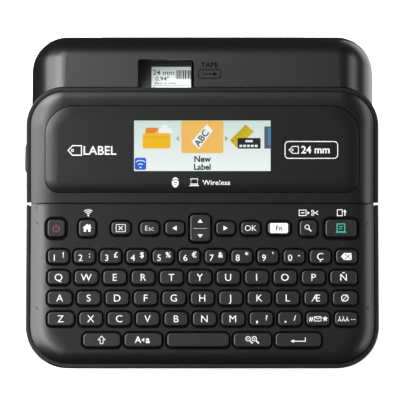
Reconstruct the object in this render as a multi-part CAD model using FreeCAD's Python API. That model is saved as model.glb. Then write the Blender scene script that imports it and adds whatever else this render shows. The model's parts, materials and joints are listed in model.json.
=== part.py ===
"""Desktop label maker: sloping keyboard, tilted display, hinged compartment hood, tape mechanism inside.

Millimetres, +X to the user's right, +Y to the rear, +Z up. The origin is on the table under the middle of
the case. Two tilted working frames carry the keyboard and the display; in both, x stays x, s runs up the
slope from the front and n stands out of the surface.
"""
import FreeCAD, Part
import math
import os

# --- overall size ---
WIDTH = 201.0
BODY_WIDTH = 195.0
FRONT_Y = -96.1
REAR_Y = 96.1
FOOT_HEIGHT = 2.0
WALL = 2.4

# --- sloping faces ---
KEY_SLOPE = 14.0
DISPLAY_SLOPE = 27.0
FRONT_EDGE_Z = 33.2
KEY_LENGTH = 95.3
DISPLAY_LENGTH = 66.2
HOUSING_DEPTH = 10.0
RIM_WIDTH = 2.0
RIM_DEPTH = 3.4
RIM_NOTCH = 0.8
COVER_GAP = 0.65
PLATE_TOP = 3.0
PLATE_BOTTOM = 0.9
SKIRT_BOTTOM = -2.1
CROWN_RUN = 17.0
CROWN_DROP = 3.4
CROWN_POWER = 3.5
CROWN_STEPS = 8
INNER_RUN = 5.4
INNER_DROP = 2.0
FRONT_CORNER = 24.0
DISPLAY_CORNER = 21.8
UNDERCUT_Y = 13.4
BOTTOM_EDGE = 7.0

# --- hood ---
SPLIT_Z = 66.0
HOOD_TOP = 84.5
HOOD_WALL = 2.4
HOOD_EDGE = 19.4
HOOD_CORNER = 20.6
HOOD_FRONT_Y = 44.0
PARTING_STEP = 0.15
HINGE_RADIUS = 3.2
HINGE_HALF = 58.0
KNUCKLE_RADIUS = 3.6
KNUCKLE_END = 88.0
HINGE_PIN_RADIUS = 1.25
RUN_FIT = 0.05
TAPE_WINDOW_X = (-36.9, -4.8)
TAPE_WINDOW_Y = (55.0, 74.4)

# --- keys, in the keyboard frame ---
KEY_FIELD = 88.4
KEY_GAP = 0.85
KEY_HEIGHT = 9.0
KEY_CORNER = 3.0
KEY_PROUD = 0.9
KEY_FLANGE = 0.4
KEY_SPACE = 2.2
FUNCTION_S = 80.1
NUMBER_S = 63.6
LETTER_S = (51.5, 39.5, 27.5)
SPACE_S = 15.3
LETTER_WIDTH = 13.95
FIRST_LETTER_WIDTHS = (13.2, 14.6, 15.8)
FUNCTION_KEYS = {
    "power_key": (-83.3, 10.8, 11.1),
    "home_key": (-65.6, 10.4, 10.8),
    "clear_key": (-46.5, 11.6, 8.6),
    "escape_key": (-30.1, 11.5, 8.6),
    "left_key": (-15.7, 11.6, 8.6),
    "up_down_key": (-1.2, 12.4, 16.8),
    "right_key": (13.2, 11.5, 8.6),
    "ok_key": (27.5, 11.6, 8.6),
    "function_key": (43.7, 13.6, 8.6),
    "preview_key": (60.3, 10.6, 10.4),
    "print_key": (79.0, 18.6, 11.2),
}
BOTTOM_KEYS = {
    "shift_key": (-57.2, 21.9),
    "caps_key": (-33.6, 22.0),
    "space_key": (-2.5, 35.9),
    "zoom_key": (28.4, 22.1),
    "enter_key": (54.5, 26.7),
}

# --- display, in the display frame ---
BEZEL = (-89.9, 6.1, 89.9, 55.9)
BEZEL_GAP = 0.4
BEZEL_FRONT_CORNER = 8.0
BEZEL_REAR_CORNER = 16.5
BEZEL_RUN = 7.0
BEZEL_DROP = 0.8
SCREEN = (-39.5, 18.0, 39.5, 47.9)

# --- compartment ---
DECK_Z = 32.0
DECK_THICKNESS = 2.0
BAY_FRONT_Y = 43.0
PLATE_Z = 33.2
CASSETTE = (-80.0, 59.0, 38.0, -6.0, 89.0, 71.0)
CASSETTE_WALL = 1.5
LID_THICKNESS = 1.6
LABEL_REAR = 76.8
NOTCH = (-80.0, 59.0, -65.0, 69.0)
TAPE_WIDTH = 24.0
CELL_RADIUS = 7.2
CELL_LENGTH = 50.5
CELL_PITCH = 14.9
CELL_START = (22.0, 51.6, 39.7)

# --- tape drive ---
MODULE = 0.5
PINION_TEETH = 12
IDLER_TEETH = 36
PLATEN_TEETH = 26
RIBBON_TEETH = 24
GEAR_Z = 33.8
GEAR_THICKNESS = 3.0
IDLER_PHASE = 0.0
ROLLER_XY = (-73.0, 56.6)
IDLER_XY = (-58.3, 61.5)
PINION_XY = (-52.3, 51.1)
RIBBON_XY = (-44.2, 66.6)
ROLLER_RADIUS = 4.0
SHAFT_RADIUS = 1.2
HOLDER_PIVOT_XY = (-63.0, 50.0)
ROLLER_Z = (41.0, 64.0)
BLADE_X = -88.0
BLADE_THICKNESS = 1.0
BLADE_PIVOT = (57.0, 37.2)
BLADE_PIN_RADIUS = 1.0
CUTTER_LOW = 37.6
POST_RADIUS = 1.5
SPINDLE_RADIUS = 2.6
HEAD_GAP = 0.35
HEAD_THICKNESS = 1.2
TAPE_SPOOL_XY = (-25.5, 74.0)
TAPE_SPOOL_RADIUS = 12.6
HUB_RADIUS = 3.0
RIBBON_RADIUS = 6.0

# --- screws, feet, sockets and openings of the case ---
PILLARS = [(side * 92.2, y) for side in (-1, 1) for y in (-62.0, -14.0)]
TRAY_LEGS = [(-88.0, 46.0), (88.0, 46.0), (-70.0, 86.0), (70.0, 86.0)]
BOSS_TOP = 14.0
BOSS_RADIUS = 3.6
PILLAR_BOSS_RADIUS = 2.9
SCREW_SEAT = 7.0
SCREW_SHANK = 1.3
SCREW_REACH = 7.0
FEET = [(-76.0, -62.0), (76.0, -62.0), (-76.0, 78.0), (76.0, 78.0)]
FOOT_RADIUS = 6.5
FOOT_RECESS = 0.8
JACK_CENTRE = (8.0, 14.0)
JACK_RADIUS = 4.6
JACK_BORE_RADIUS = 3.2
JACK_PIN_RADIUS = 0.85
USB_CENTRE = (26.0, 13.0)
USB_SIZE = (8.4, 3.4)
BUTTON_Y = (21.5, 38.7)
BUTTON_Z = (42.0, 50.0)
BUTTON_OUT = 101.7
TAPE_SLOT_Y = (59.6, 62.4)
TAPE_SLOT_BOTTOM = 39.5
MAIN_BOARD = (-60.0, -55.0, 12.0, 80.0, 32.0, 13.6)
VENT_START = 20.0
VENT_PITCH = 6.0
VENT_COUNT = 7
VENT_Z = (20.0, 27.0)

KEY_FRAME = FreeCAD.Placement(
    FreeCAD.Vector(0, FRONT_Y, FRONT_EDGE_Z), FreeCAD.Rotation(FreeCAD.Vector(1, 0, 0), KEY_SLOPE)
)
CREASE = KEY_FRAME.multVec(FreeCAD.Vector(0, KEY_LENGTH, 0))
DISPLAY_FRAME = FreeCAD.Placement(CREASE, FreeCAD.Rotation(FreeCAD.Vector(1, 0, 0), DISPLAY_SLOPE))
CREASE_FRAME = FreeCAD.Placement(
    CREASE, FreeCAD.Rotation(FreeCAD.Vector(1, 0, 0), (KEY_SLOPE + DISPLAY_SLOPE) / 2)
)
FAR = 400.0


# --- shape helpers ---
def box(x0, y0, z0, x1, y1, z1):
    return Part.makeBox(x1 - x0, y1 - y0, z1 - z0, FreeCAD.Vector(x0, y0, z0))


def cylinder(x, y, z0, z1, radius):
    return Part.makeCylinder(radius, z1 - z0, FreeCAD.Vector(x, y, z0))


def cylinder_x(y, z, x0, x1, radius):
    return Part.makeCylinder(radius, x1 - x0, FreeCAD.Vector(x0, y, z), FreeCAD.Vector(1, 0, 0))


def joined(shapes):
    return shapes[0].multiFuse(shapes[1:]).removeSplitter() if len(shapes) > 1 else shapes[0]


def arc_point(cx, cy, radius, degrees):
    angle = math.radians(degrees)
    return FreeCAD.Vector(cx + radius * math.cos(angle), cy + radius * math.sin(angle), 0)


def outline(x0, y0, x1, y1, front_radius, rear_radius):
    """A rectangle with round corners: front ones at low y, rear ones at high y."""
    corners = (
        (x0 + front_radius, y0 + front_radius, front_radius, 180),
        (x1 - front_radius, y0 + front_radius, front_radius, 270),
        (x1 - rear_radius, y1 - rear_radius, rear_radius, 0),
        (x0 + rear_radius, y1 - rear_radius, rear_radius, 90),
    )
    edges = []
    starts = []
    ends = []
    for cx, cy, radius, start in corners:
        starts.append(arc_point(cx, cy, radius, start))
        ends.append(arc_point(cx, cy, radius, start + 90))
    for i, (cx, cy, radius, start) in enumerate(corners):
        if radius > 0:
            middle = arc_point(cx, cy, radius, start + 45)
            edges.append(Part.Arc(starts[i], middle, ends[i]).toShape())
        edges.append(Part.LineSegment(ends[i], starts[(i + 1) % 4]).toShape())
    return Part.Face(Part.Wire(Part.__sortEdges__(edges)))


def prism(face, z0, z1):
    lifted = face.copy()
    lifted.translate(FreeCAD.Vector(0, 0, z0))
    return lifted.extrude(FreeCAD.Vector(0, 0, z1 - z0))


def plate(x0, y0, z0, x1, y1, z1, front_radius=0.0, rear_radius=None):
    rear = front_radius if rear_radius is None else rear_radius
    return prism(outline(x0, y0, x1, y1, front_radius, rear), z0, z1)


def edges_at(shape, z):
    return [e for e in shape.Edges if all(abs(v.Z - z) < 1e-6 for v in e.Vertexes)]


def rounded_top(shape, radius):
    return shape.makeFillet(radius, edges_at(shape, shape.BoundBox.ZMax))


def rounded_bottom(shape, radius):
    return shape.makeFillet(radius, edges_at(shape, shape.BoundBox.ZMin))


def pillow(x0, y0, z0, x1, y1, z1, front_radius, rear_radius, run, drop, open_front=0.0, open_rear=0.0):
    """A plate whose top falls away by drop over the last run before its edges, on a wide round arc.

    open_front or open_rear carries the flat top past that edge, where the surface meets its neighbour.
    """
    radius = (run * run + drop * drop) / (2 * drop)
    out = radius - run
    blank = plate(
        x0 - out, y0 - out - open_front, z1 - radius - 1, x1 + out, y1 + out + open_rear, z1,
        front_radius + out, rear_radius + out,
    )
    return rounded_top(blank, radius).common(plate(x0, y0, z0, x1, y1, z1 + 1, front_radius, rear_radius))


def crown_section(reach, z0, z1):
    """An upright section from x = 0 to reach, flat on top, then falling ever faster over its last run."""
    fall = [i / CROWN_STEPS for i in range(CROWN_STEPS + 1)]
    points = [
        FreeCAD.Vector(reach - CROWN_RUN + CROWN_RUN * t, 0, z1 - CROWN_DROP * t**CROWN_POWER) for t in fall
    ]
    curve = Part.BSplineCurve()
    curve.interpolate(points)
    below = [FreeCAD.Vector(reach, 0, z0), FreeCAD.Vector(0, 0, z0), FreeCAD.Vector(0, 0, z1)]
    corners = [points[-1]] + below + [points[0]]
    edges = [curve.toShape()]
    edges += [Part.LineSegment(a, b).toShape() for a, b in zip(corners, corners[1:])]
    return Part.Face(Part.Wire(edges))


def crowned(half, z0, z1, length, corner):
    """A plate from y = 0 to length, its top crowned along both sides and round its closed end at y = 0."""
    origin = FreeCAD.Vector(0, 0, 0)
    up = FreeCAD.Vector(0, 0, 1)
    side = crown_section(half, z0, z1)
    side.translate(FreeCAD.Vector(0, corner, 0))
    right = side.extrude(FreeCAD.Vector(0, length - corner, 0))
    left = right.mirror(origin, FreeCAD.Vector(1, 0, 0))
    end = crown_section(corner, z0, z1)
    end.rotate(origin, up, -90)
    right_corner = end.revolve(origin, up, 90)
    right_corner.translate(FreeCAD.Vector(half - corner, corner, 0))
    left_corner = right_corner.mirror(origin, FreeCAD.Vector(1, 0, 0))
    end.translate(FreeCAD.Vector(corner - half, corner, 0))
    closed_end = end.extrude(FreeCAD.Vector(2 * (half - corner), 0, 0))
    return joined([right, left, closed_end, right_corner, left_corner])


def placed(shape, placement):
    moved = shape.copy()
    moved.Placement = placement
    return moved


def in_keys(shape):
    return placed(shape, KEY_FRAME)


def in_display(shape):
    return placed(shape, DISPLAY_FRAME)


def key_point(s, n):
    p = KEY_FRAME.multVec(FreeCAD.Vector(0, s, n))
    return (p.y, p.z)


def display_point(s, n):
    p = DISPLAY_FRAME.multVec(FreeCAD.Vector(0, s, n))
    return (p.y, p.z)


def side_profile(points, half_width):
    """A closed outline of (y, z) points, drawn out along X."""
    corners = [FreeCAD.Vector(-half_width, y, z) for y, z in points]
    wire = Part.makePolygon(corners + corners[:1])
    return Part.Face(wire).extrude(FreeCAD.Vector(2 * half_width, 0, 0))


def before_crease(gap):
    """The space on the keyboard's side of the crease between the two slopes."""
    return placed(box(-FAR, -FAR, -FAR, FAR, -gap / 2, FAR), CREASE_FRAME)


def behind_crease(gap):
    return placed(box(-FAR, gap / 2, -FAR, FAR, FAR, FAR), CREASE_FRAME)


def gear(x, y, z0, teeth, thickness, bore, phase):
    """A spur gear with trapezoid teeth, thinned for backlash, whose first tooth points at phase degrees."""
    pitch = MODULE * teeth / 2
    root = pitch - 1.2 * MODULE
    tip = pitch + 0.95 * MODULE
    step = 360.0 / teeth
    profile = ((root, -0.34), (pitch, -0.22), (tip, -0.11), (tip, 0.11), (pitch, 0.22), (root, 0.34))
    corners = []
    for i in range(teeth):
        for radius, turn in profile:
            corners.append(arc_point(x, y, radius, phase + (i + turn) * step))
    wheel = Part.Face(Part.makePolygon(corners + corners[:1])).extrude(FreeCAD.Vector(0, 0, thickness))
    wheel.translate(FreeCAD.Vector(0, 0, z0))
    return wheel.cut(cylinder(x, y, z0 - 1, z0 + thickness + 1, bore)) if bore else wheel


def heading(a, b):
    return math.degrees(math.atan2(b[1] - a[1], b[0] - a[0]))


def mesh_phase(centre, teeth):
    """The phase that puts a gap of this gear on the idler's tooth where the two meet."""
    out = heading(IDLER_XY, centre)
    idler_turns = (out - IDLER_PHASE) / (360.0 / IDLER_TEETH)
    gear_turns = 0.5 - (idler_turns - math.floor(idler_turns))
    return out + 180 - gear_turns * 360.0 / teeth


def hull_plate(a, b, radius, z0, z1):
    """A plate with round ends over two points."""
    turn = heading(a, b)
    length = math.dist(a, b)
    bar = plate(-radius, -radius, z0, length + radius, radius, z1, radius - 0.01)
    bar.Placement = FreeCAD.Placement(
        FreeCAD.Vector(a[0], a[1], 0), FreeCAD.Rotation(FreeCAD.Vector(0, 0, 1), turn)
    )
    return bar


# --- keys ---
def letter_row(index):
    """Left and right ends of the eleven keys in one letter row."""
    first = FIRST_LETTER_WIDTHS[index]
    spans = [(-KEY_FIELD, -KEY_FIELD + first)]
    for _ in range(9):
        left = spans[-1][1] + KEY_SPACE
        spans.append((left, left + LETTER_WIDTH))
    spans.append((spans[-1][1] + KEY_SPACE, KEY_FIELD))
    return spans


def number_row():
    """Left and right ends of the twelve keys in the number row."""
    width = (2 * KEY_FIELD - 11 * KEY_SPACE) / 12
    lefts = [-KEY_FIELD + i * (width + KEY_SPACE) for i in range(12)]
    return [(left, left + width) for left in lefts]


def key_rectangles():
    """Every key's rectangle (x0, s0, x1, s1), measured to the middle of the gap round it, by node."""
    rows = {}
    for name, (x, width, height) in FUNCTION_KEYS.items():
        rows[name] = [(x - width / 2, FUNCTION_S - height / 2, x + width / 2, FUNCTION_S + height / 2)]
    half = KEY_HEIGHT / 2
    rows["number_keys"] = [(a, NUMBER_S - half, b, NUMBER_S + half) for a, b in number_row()]
    for i, name in enumerate(("upper_letter_keys", "middle_letter_keys", "lower_letter_keys")):
        rows[name] = [(a, LETTER_S[i] - half, b, LETTER_S[i] + half) for a, b in letter_row(i)]
    for name, (x, width) in BOTTOM_KEYS.items():
        rows[name] = [(x - width / 2, SPACE_S - half, x + width / 2, SPACE_S + half)]
    return rows


KEYS = key_rectangles()


def grown(rectangle, by):
    return (rectangle[0] - by, rectangle[1] - by, rectangle[2] + by, rectangle[3] + by)


def key_cap(rectangle):
    """A cap with soft top edges over a wider flange that the cover holds down."""
    x0, s0, x1, s1 = grown(rectangle, -KEY_GAP / 2)
    fx0, fs0, fx1, fs1 = grown(rectangle, KEY_GAP / 2 + KEY_FLANGE)
    top = PLATE_TOP + KEY_PROUD
    cap = plate(x0, s0, PLATE_BOTTOM - 1.0, x1, s1, top, KEY_CORNER - KEY_GAP / 2)
    cap = rounded_top(cap, 0.8)
    flange = plate(fx0, fs0, PLATE_BOTTOM - 1.0, fx1, fs1, PLATE_BOTTOM - RUN_FIT, KEY_CORNER)
    return in_keys(cap.fuse(flange).removeSplitter())


def rocker_cap(rectangle):
    """The up and down key: one rocker with a shallow valley across its middle."""
    x0, s0, x1, s1 = grown(rectangle, -KEY_GAP / 2)
    fx0, fs0, fx1, fs1 = grown(rectangle, KEY_GAP / 2)
    top = PLATE_TOP + KEY_PROUD
    cap = plate(x0, s0, PLATE_BOTTOM - 1.0, x1, s1, top, KEY_CORNER - KEY_GAP / 2)
    cap = rounded_top(cap, 0.8)
    valley_radius = 30.0
    valley = cylinder_x(FUNCTION_S, top + valley_radius - 0.45, x0 - 1, x1 + 1, valley_radius)
    inner = plate(x0 + 0.9, s0 + 2.5, top - 0.6, x1 - 0.9, s1 - 2.5, top + 1, 2.0)
    flange = plate(fx0 - KEY_FLANGE, FUNCTION_S - 2, PLATE_BOTTOM - 1.0, fx1 + KEY_FLANGE, FUNCTION_S + 2,
                   PLATE_BOTTOM - 0.3)
    return in_keys(cap.cut(valley.common(inner)).fuse(flange).removeSplitter())


def key_nodes():
    nodes = {}
    for name, rectangles in KEYS.items():
        maker = rocker_cap if name == "up_down_key" else key_cap
        nodes[name] = [maker(r) for r in rectangles]
    return nodes


# --- casing ---
def housing_passage(gap):
    """The display housing's outline carried straight down through the case, widened by the gap."""
    half = WIDTH / 2 + gap
    return in_display(plate(-half, -30, -90, half, DISPLAY_LENGTH + gap, 30, 0, DISPLAY_CORNER + gap))


def leaning_plan(inset):
    """A prism whose round front corners lean back with the front wall; its rear runs past the case."""
    half = BODY_WIDTH / 2 - inset
    top_y, top_z = key_point(3.0, -RIM_DEPTH)
    rise = top_z - FOOT_HEIGHT - 3
    corner = FRONT_CORNER - 3 - inset
    face = outline(-half, top_y + UNDERCUT_Y + inset, half, REAR_Y + 60, corner, 0)
    face.translate(FreeCAD.Vector(0, 0, FOOT_HEIGHT + 3))
    lean = FreeCAD.Vector(0, -UNDERCUT_Y, rise)
    up = face.extrude(lean * 3)
    down = face.extrude(lean * -1)
    return up.fuse(down).removeSplitter()


def body_outer():
    """The case below the sloping faces and the hood, with the front wall leaning back underneath.

    Under the display housing it carries on up as the lower ends of the hood's side walls.
    """
    half = BODY_WIDTH / 2
    front = key_point(3.0, -RIM_DEPTH)
    step = display_point(0.35, -HOUSING_DEPTH)
    cheek = display_point(DISPLAY_LENGTH - 1.0, -HOUSING_DEPTH)
    profile = [
        (front[0] + UNDERCUT_Y + 3, FOOT_HEIGHT),
        (front[0] + UNDERCUT_Y, FOOT_HEIGHT + 3),
        front,
        key_point(3.0, -0.5),
        key_point(KEY_LENGTH - RIM_NOTCH, -0.5),
        step,
        cheek,
        (cheek[0], SPLIT_Z),
        (REAR_Y, SPLIT_Z),
        (REAR_Y, FOOT_HEIGHT),
    ]
    plan = plate(-half, front[0] - 1, FOOT_HEIGHT, half, REAR_Y, FAR, FRONT_CORNER - 3, HOOD_CORNER)
    body = side_profile(profile, half + 1).common(rounded_bottom(plan, BOTTOM_EDGE)).common(leaning_plan(0))
    above = box(-FAR, HOOD_FRONT_Y, SPLIT_Z, FAR, FAR, FAR)
    return body.cut(above.cut(housing_passage(0).common(hood_blank(PARTING_STEP))))


def body_inner():
    half = BODY_WIDTH / 2 - WALL
    front = key_point(3.0, -RIM_DEPTH)
    toe = front[0] + UNDERCUT_Y + WALL
    floor = FOOT_HEIGHT + WALL
    profile = [
        (toe + 2, floor),
        (toe - 2, floor + 3.6),
        (front[0] - 5, floor + 3.6),
        (front[0] - 5, FAR),
        (REAR_Y - WALL, FAR),
        (REAR_Y - WALL, floor),
    ]
    plan = plate(-half, front[0] - 1 + WALL, floor, half, REAR_Y - WALL, FAR, FRONT_CORNER - 3 - WALL,
                 HOOD_CORNER - WALL)
    blank = side_profile(profile, half + 1).common(rounded_bottom(plan, BOTTOM_EDGE - WALL))
    return blank.common(leaning_plan(WALL))


def key_rim():
    """The thin lip that stands out round the keyboard cover, stopping short of the crease."""
    half = WIDTH / 2
    end = KEY_LENGTH - RIM_NOTCH
    lip = plate(-half, 0, -RIM_DEPTH, half, end + 30, 0, FRONT_CORNER)
    lip = rounded_bottom(rounded_top(lip, 0.5), 1.2)
    return in_keys(lip.common(box(-FAR, -1, -FAR, FAR, end, FAR)))


def key_rim_opening():
    half = WIDTH / 2 - RIM_WIDTH
    ledge = BODY_WIDTH / 2 - WALL
    seat = plate(-half, RIM_WIDTH, SKIRT_BOTTOM - 0.1, half, KEY_LENGTH + 60, 20, FRONT_CORNER - RIM_WIDTH)
    through = plate(-ledge, 5.4, -RIM_DEPTH - 1, ledge, KEY_LENGTH + 60, 0, FRONT_CORNER - 5.4)
    return in_keys(seat.fuse(through)).common(before_crease(-2.0))


def base_case():
    half = BODY_WIDTH / 2
    shell = body_outer().cut(body_inner()).fuse(key_rim()).cut(key_rim_opening())
    floor = FOOT_HEIGHT + WALL - 0.5
    bosses = [cylinder(x, y, floor, BOSS_TOP, BOSS_RADIUS) for x, y in TRAY_LEGS]
    bosses += [cylinder(x, y, floor, BOSS_TOP, PILLAR_BOSS_RADIUS) for x, y in PILLARS]
    ribs = [box(x - 0.8, -70, floor, x + 0.8, 30, 9.0) for x in (-45.0, 0.0, 45.0)]
    knuckles = [hinge_knuckle(side) for side in (-1, 1)]
    shell = joined([shell] + bosses + ribs + board_posts() + knuckles)
    cuts = [cylinder(x, y, -1, BOSS_TOP + 1, SCREW_SHANK) for x, y in PILLARS + TRAY_LEGS]
    cuts += [cylinder(x, y, -1, SCREW_SEAT, 2.8) for x, y in TRAY_LEGS]
    cuts += [cylinder(x, y, -1, SCREW_SEAT, 2.2) for x, y in PILLARS]
    cuts += [cylinder(x, y, 0, FOOT_HEIGHT + FOOT_RECESS, FOOT_RADIUS + 0.1) for x, y in FEET]
    cuts.append(cylinder_x(JACK_CENTRE[0], JACK_CENTRE[1], half - 5, half + 5, JACK_RADIUS + 0.2))
    cuts.append(box(half - 5, USB_CENTRE[0] - USB_SIZE[0] / 2 - 0.4, USB_CENTRE[1] - USB_SIZE[1] / 2 - 0.4,
                    half + 5, USB_CENTRE[0] + USB_SIZE[0] / 2 + 0.4, USB_CENTRE[1] + USB_SIZE[1] / 2 + 0.4))
    cuts.append(box(-half - 5, BUTTON_Y[0] - 0.2, BUTTON_Z[0] - 0.2, -half + 5, BUTTON_Y[1] + 0.2,
                    BUTTON_Z[1] + 0.2))
    cuts.append(box(-half - 5, TAPE_SLOT_Y[0], TAPE_SLOT_BOTTOM, -half + 5, TAPE_SLOT_Y[1], SPLIT_Z + 0.5))
    for i in range(VENT_COUNT):
        x = VENT_START + VENT_PITCH * i
        cuts.append(box(x, REAR_Y - 5, VENT_Z[0], x + VENT_PITCH / 2, REAR_Y + 5, VENT_Z[1]))
    hinge_y = REAR_Y - HINGE_RADIUS
    cuts.append(cylinder_x(hinge_y, SPLIT_Z, -HINGE_HALF - 0.2, HINGE_HALF + 0.2, HINGE_RADIUS + 0.35))
    cuts.append(cylinder_x(hinge_y, SPLIT_Z, -HINGE_HALF - 4.2, HINGE_HALF + 4.2, HINGE_PIN_RADIUS))
    cuts.append(box(-HINGE_HALF - 0.2, hinge_y, SPLIT_Z - 4.3, HINGE_HALF + 0.2, REAR_Y + 1, SPLIT_Z + 1))
    return shell.cut(joined(cuts[:1]).multiFuse(cuts[1:]))


def hinge_knuckle(side):
    """The case's half of the hinge: a round lip along the rear wall beside the hood's barrel."""
    x0, x1 = sorted((side * (HINGE_HALF + 0.25), side * KNUCKLE_END))
    y = REAR_Y - HINGE_RADIUS
    half = BODY_WIDTH / 2
    lip = cylinder_x(y, SPLIT_Z, x0, x1, KNUCKLE_RADIUS)
    lip = lip.fuse(box(x0, y - KNUCKLE_RADIUS, SPLIT_Z - 7, x1, REAR_Y - 1, SPLIT_Z))
    return lip.common(plate(-half, 0, 0, half, REAR_Y, FAR, 0, HOOD_CORNER))


def keyboard_cover():
    half = WIDTH / 2 - RIM_WIDTH - COVER_GAP
    front = RIM_WIDTH + COVER_GAP
    corner = FRONT_CORNER - front
    top = crowned(half, SKIRT_BOTTOM, PLATE_TOP, KEY_LENGTH + 20, corner)
    top.translate(FreeCAD.Vector(0, front, 0))
    hollow = plate(-half + 2, front + 2, SKIRT_BOTTOM - 1, half - 2, KEY_LENGTH + 30, PLATE_BOTTOM,
                   corner - 2, 0)
    low_edge = pillow(-half + 1.8, front + 1.8, SKIRT_BOTTOM, half - 1.8, KEY_LENGTH + 30, PLATE_BOTTOM,
                      corner - 1.8, 0, INNER_RUN, INNER_DROP, open_rear=30)
    cover = top.cut(hollow.common(low_edge))
    holes = []
    for rectangles in KEYS.values():
        for r in rectangles:
            x0, s0, x1, s1 = grown(r, KEY_GAP / 2)
            holes.append(plate(x0, s0, -5, x1, s1, 8, KEY_CORNER + KEY_GAP / 2))
    cover = cover.cut(holes[0].multiFuse(holes[1:]))
    cover = in_keys(cover).common(before_crease(0.3))
    end_wall = in_keys(box(-half + 3, KEY_LENGTH - 4, SKIRT_BOTTOM, half - 3, KEY_LENGTH - 2,
                           PLATE_BOTTOM + 0.5))
    pillars = []
    for x, y in PILLARS:
        top_z = FRONT_EDGE_Z + (y - FRONT_Y) * math.tan(math.radians(KEY_SLOPE)) + 1.4
        pillars.append(cylinder(x, y, BOSS_TOP, top_z, 2.6))
    cover = joined([cover, end_wall] + pillars)
    pilots = [cylinder(x, y, BOSS_TOP - 1, BOSS_TOP + 8, SCREW_SHANK) for x, y in PILLARS]
    return cover.cut(pilots[0].multiFuse(pilots[1:]))


def display_housing():
    half = WIDTH / 2
    blank = plate(-half, -30, -HOUSING_DEPTH, half, DISPLAY_LENGTH, 0, 0, DISPLAY_CORNER)
    blank = rounded_bottom(rounded_top(blank, 0.5), 3.0)
    blank = blank.common(box(-FAR, 0.35, -FAR, FAR, FAR, FAR))
    seat_half = half - RIM_WIDTH
    end = DISPLAY_LENGTH - RIM_WIDTH
    seat = plate(-seat_half, -1, SKIRT_BOTTOM - 0.1, seat_half, end, 5, 0, DISPLAY_CORNER - RIM_WIDTH)
    pocket = plate(-half + 5.4, 3.0, -HOUSING_DEPTH + 2.0, half - 5.4, DISPLAY_LENGTH - 5.4, 0, 2,
                   DISPLAY_CORNER - 5.4)
    cable = plate(-30, 12, -HOUSING_DEPTH - 1, 30, 24, 0, 2)
    return in_display(blank.cut(seat.fuse(pocket).fuse(cable)))


def display_cover():
    half = WIDTH / 2 - RIM_WIDTH - COVER_GAP
    end = DISPLAY_LENGTH - RIM_WIDTH - COVER_GAP
    corner = DISPLAY_CORNER - RIM_WIDTH - COVER_GAP
    top = crowned(half, SKIRT_BOTTOM, PLATE_TOP, end + 20, corner)
    top.rotate(FreeCAD.Vector(0, 0, 0), FreeCAD.Vector(0, 0, 1), 180)
    top.translate(FreeCAD.Vector(0, end, 0))
    hollow = plate(-half + 2, -30, SKIRT_BOTTOM - 1, half - 2, end - 2, PLATE_BOTTOM - 0.7, 0, corner - 2)
    low_edge = pillow(-half + 1.8, -30, SKIRT_BOTTOM, half - 1.8, end - 1.8, PLATE_BOTTOM - 0.7, 0,
                      corner - 1.8, INNER_RUN, INNER_DROP, open_front=30)
    x0, s0, x1, s1 = BEZEL
    recess = plate(x0, s0, PLATE_BOTTOM, x1, s1, 8, BEZEL_FRONT_CORNER, BEZEL_REAR_CORNER)
    opening = plate(SCREEN[0] - 5, SCREEN[1] - 4, -5, SCREEN[2] + 5, SCREEN[3] + 4, 5, 2)
    cover = top.cut(hollow.common(low_edge)).cut(recess.fuse(opening))
    return in_display(cover).common(behind_crease(0.3))


def display_bezel():
    x0, s0, x1, s1 = grown(BEZEL, -BEZEL_GAP)
    panel = pillow(x0, s0, PLATE_BOTTOM, x1, s1, PLATE_TOP - 0.05, BEZEL_FRONT_CORNER - BEZEL_GAP,
                   BEZEL_REAR_CORNER - BEZEL_GAP, BEZEL_RUN, BEZEL_DROP)
    wx0, ws0, wx1, ws1 = SCREEN
    return in_display(panel.cut(plate(wx0, ws0, 0, wx1, ws1, 8, 0.8)))


def display_window():
    x0, s0, x1, s1 = grown(SCREEN, -0.1)
    return in_display(plate(x0, s0, 1.6, x1, s1, PLATE_TOP - 0.25, 0.7))


def lcd_module():
    x0, s0, x1, s1 = SCREEN
    glass = plate(x0 - 3, s0 - 2, 0.2, x1 + 3, s1 + 2, PLATE_BOTTOM - 0.05, 0.5)
    tray = plate(x0 - 4.5, s0 - 3.5, -3.4, x1 + 4.5, s1 + 3.5, 0.2, 1.0)
    return in_display(glass.fuse(tray).removeSplitter())


def hood_blank(inset):
    """The hood's outside, or its inside when inset by the wall."""
    half = BODY_WIDTH / 2 - inset
    rear = REAR_Y - inset
    blank = plate(-half, 10, SPLIT_Z - 30, half, rear, HOOD_TOP - inset, 0, HOOD_CORNER - inset)
    top = HOOD_TOP - inset
    edges = [e for e in edges_at(blank, top) if e.BoundBox.YMax > 10.1]
    return blank.makeFillet(HOOD_EDGE - inset, edges)


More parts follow.
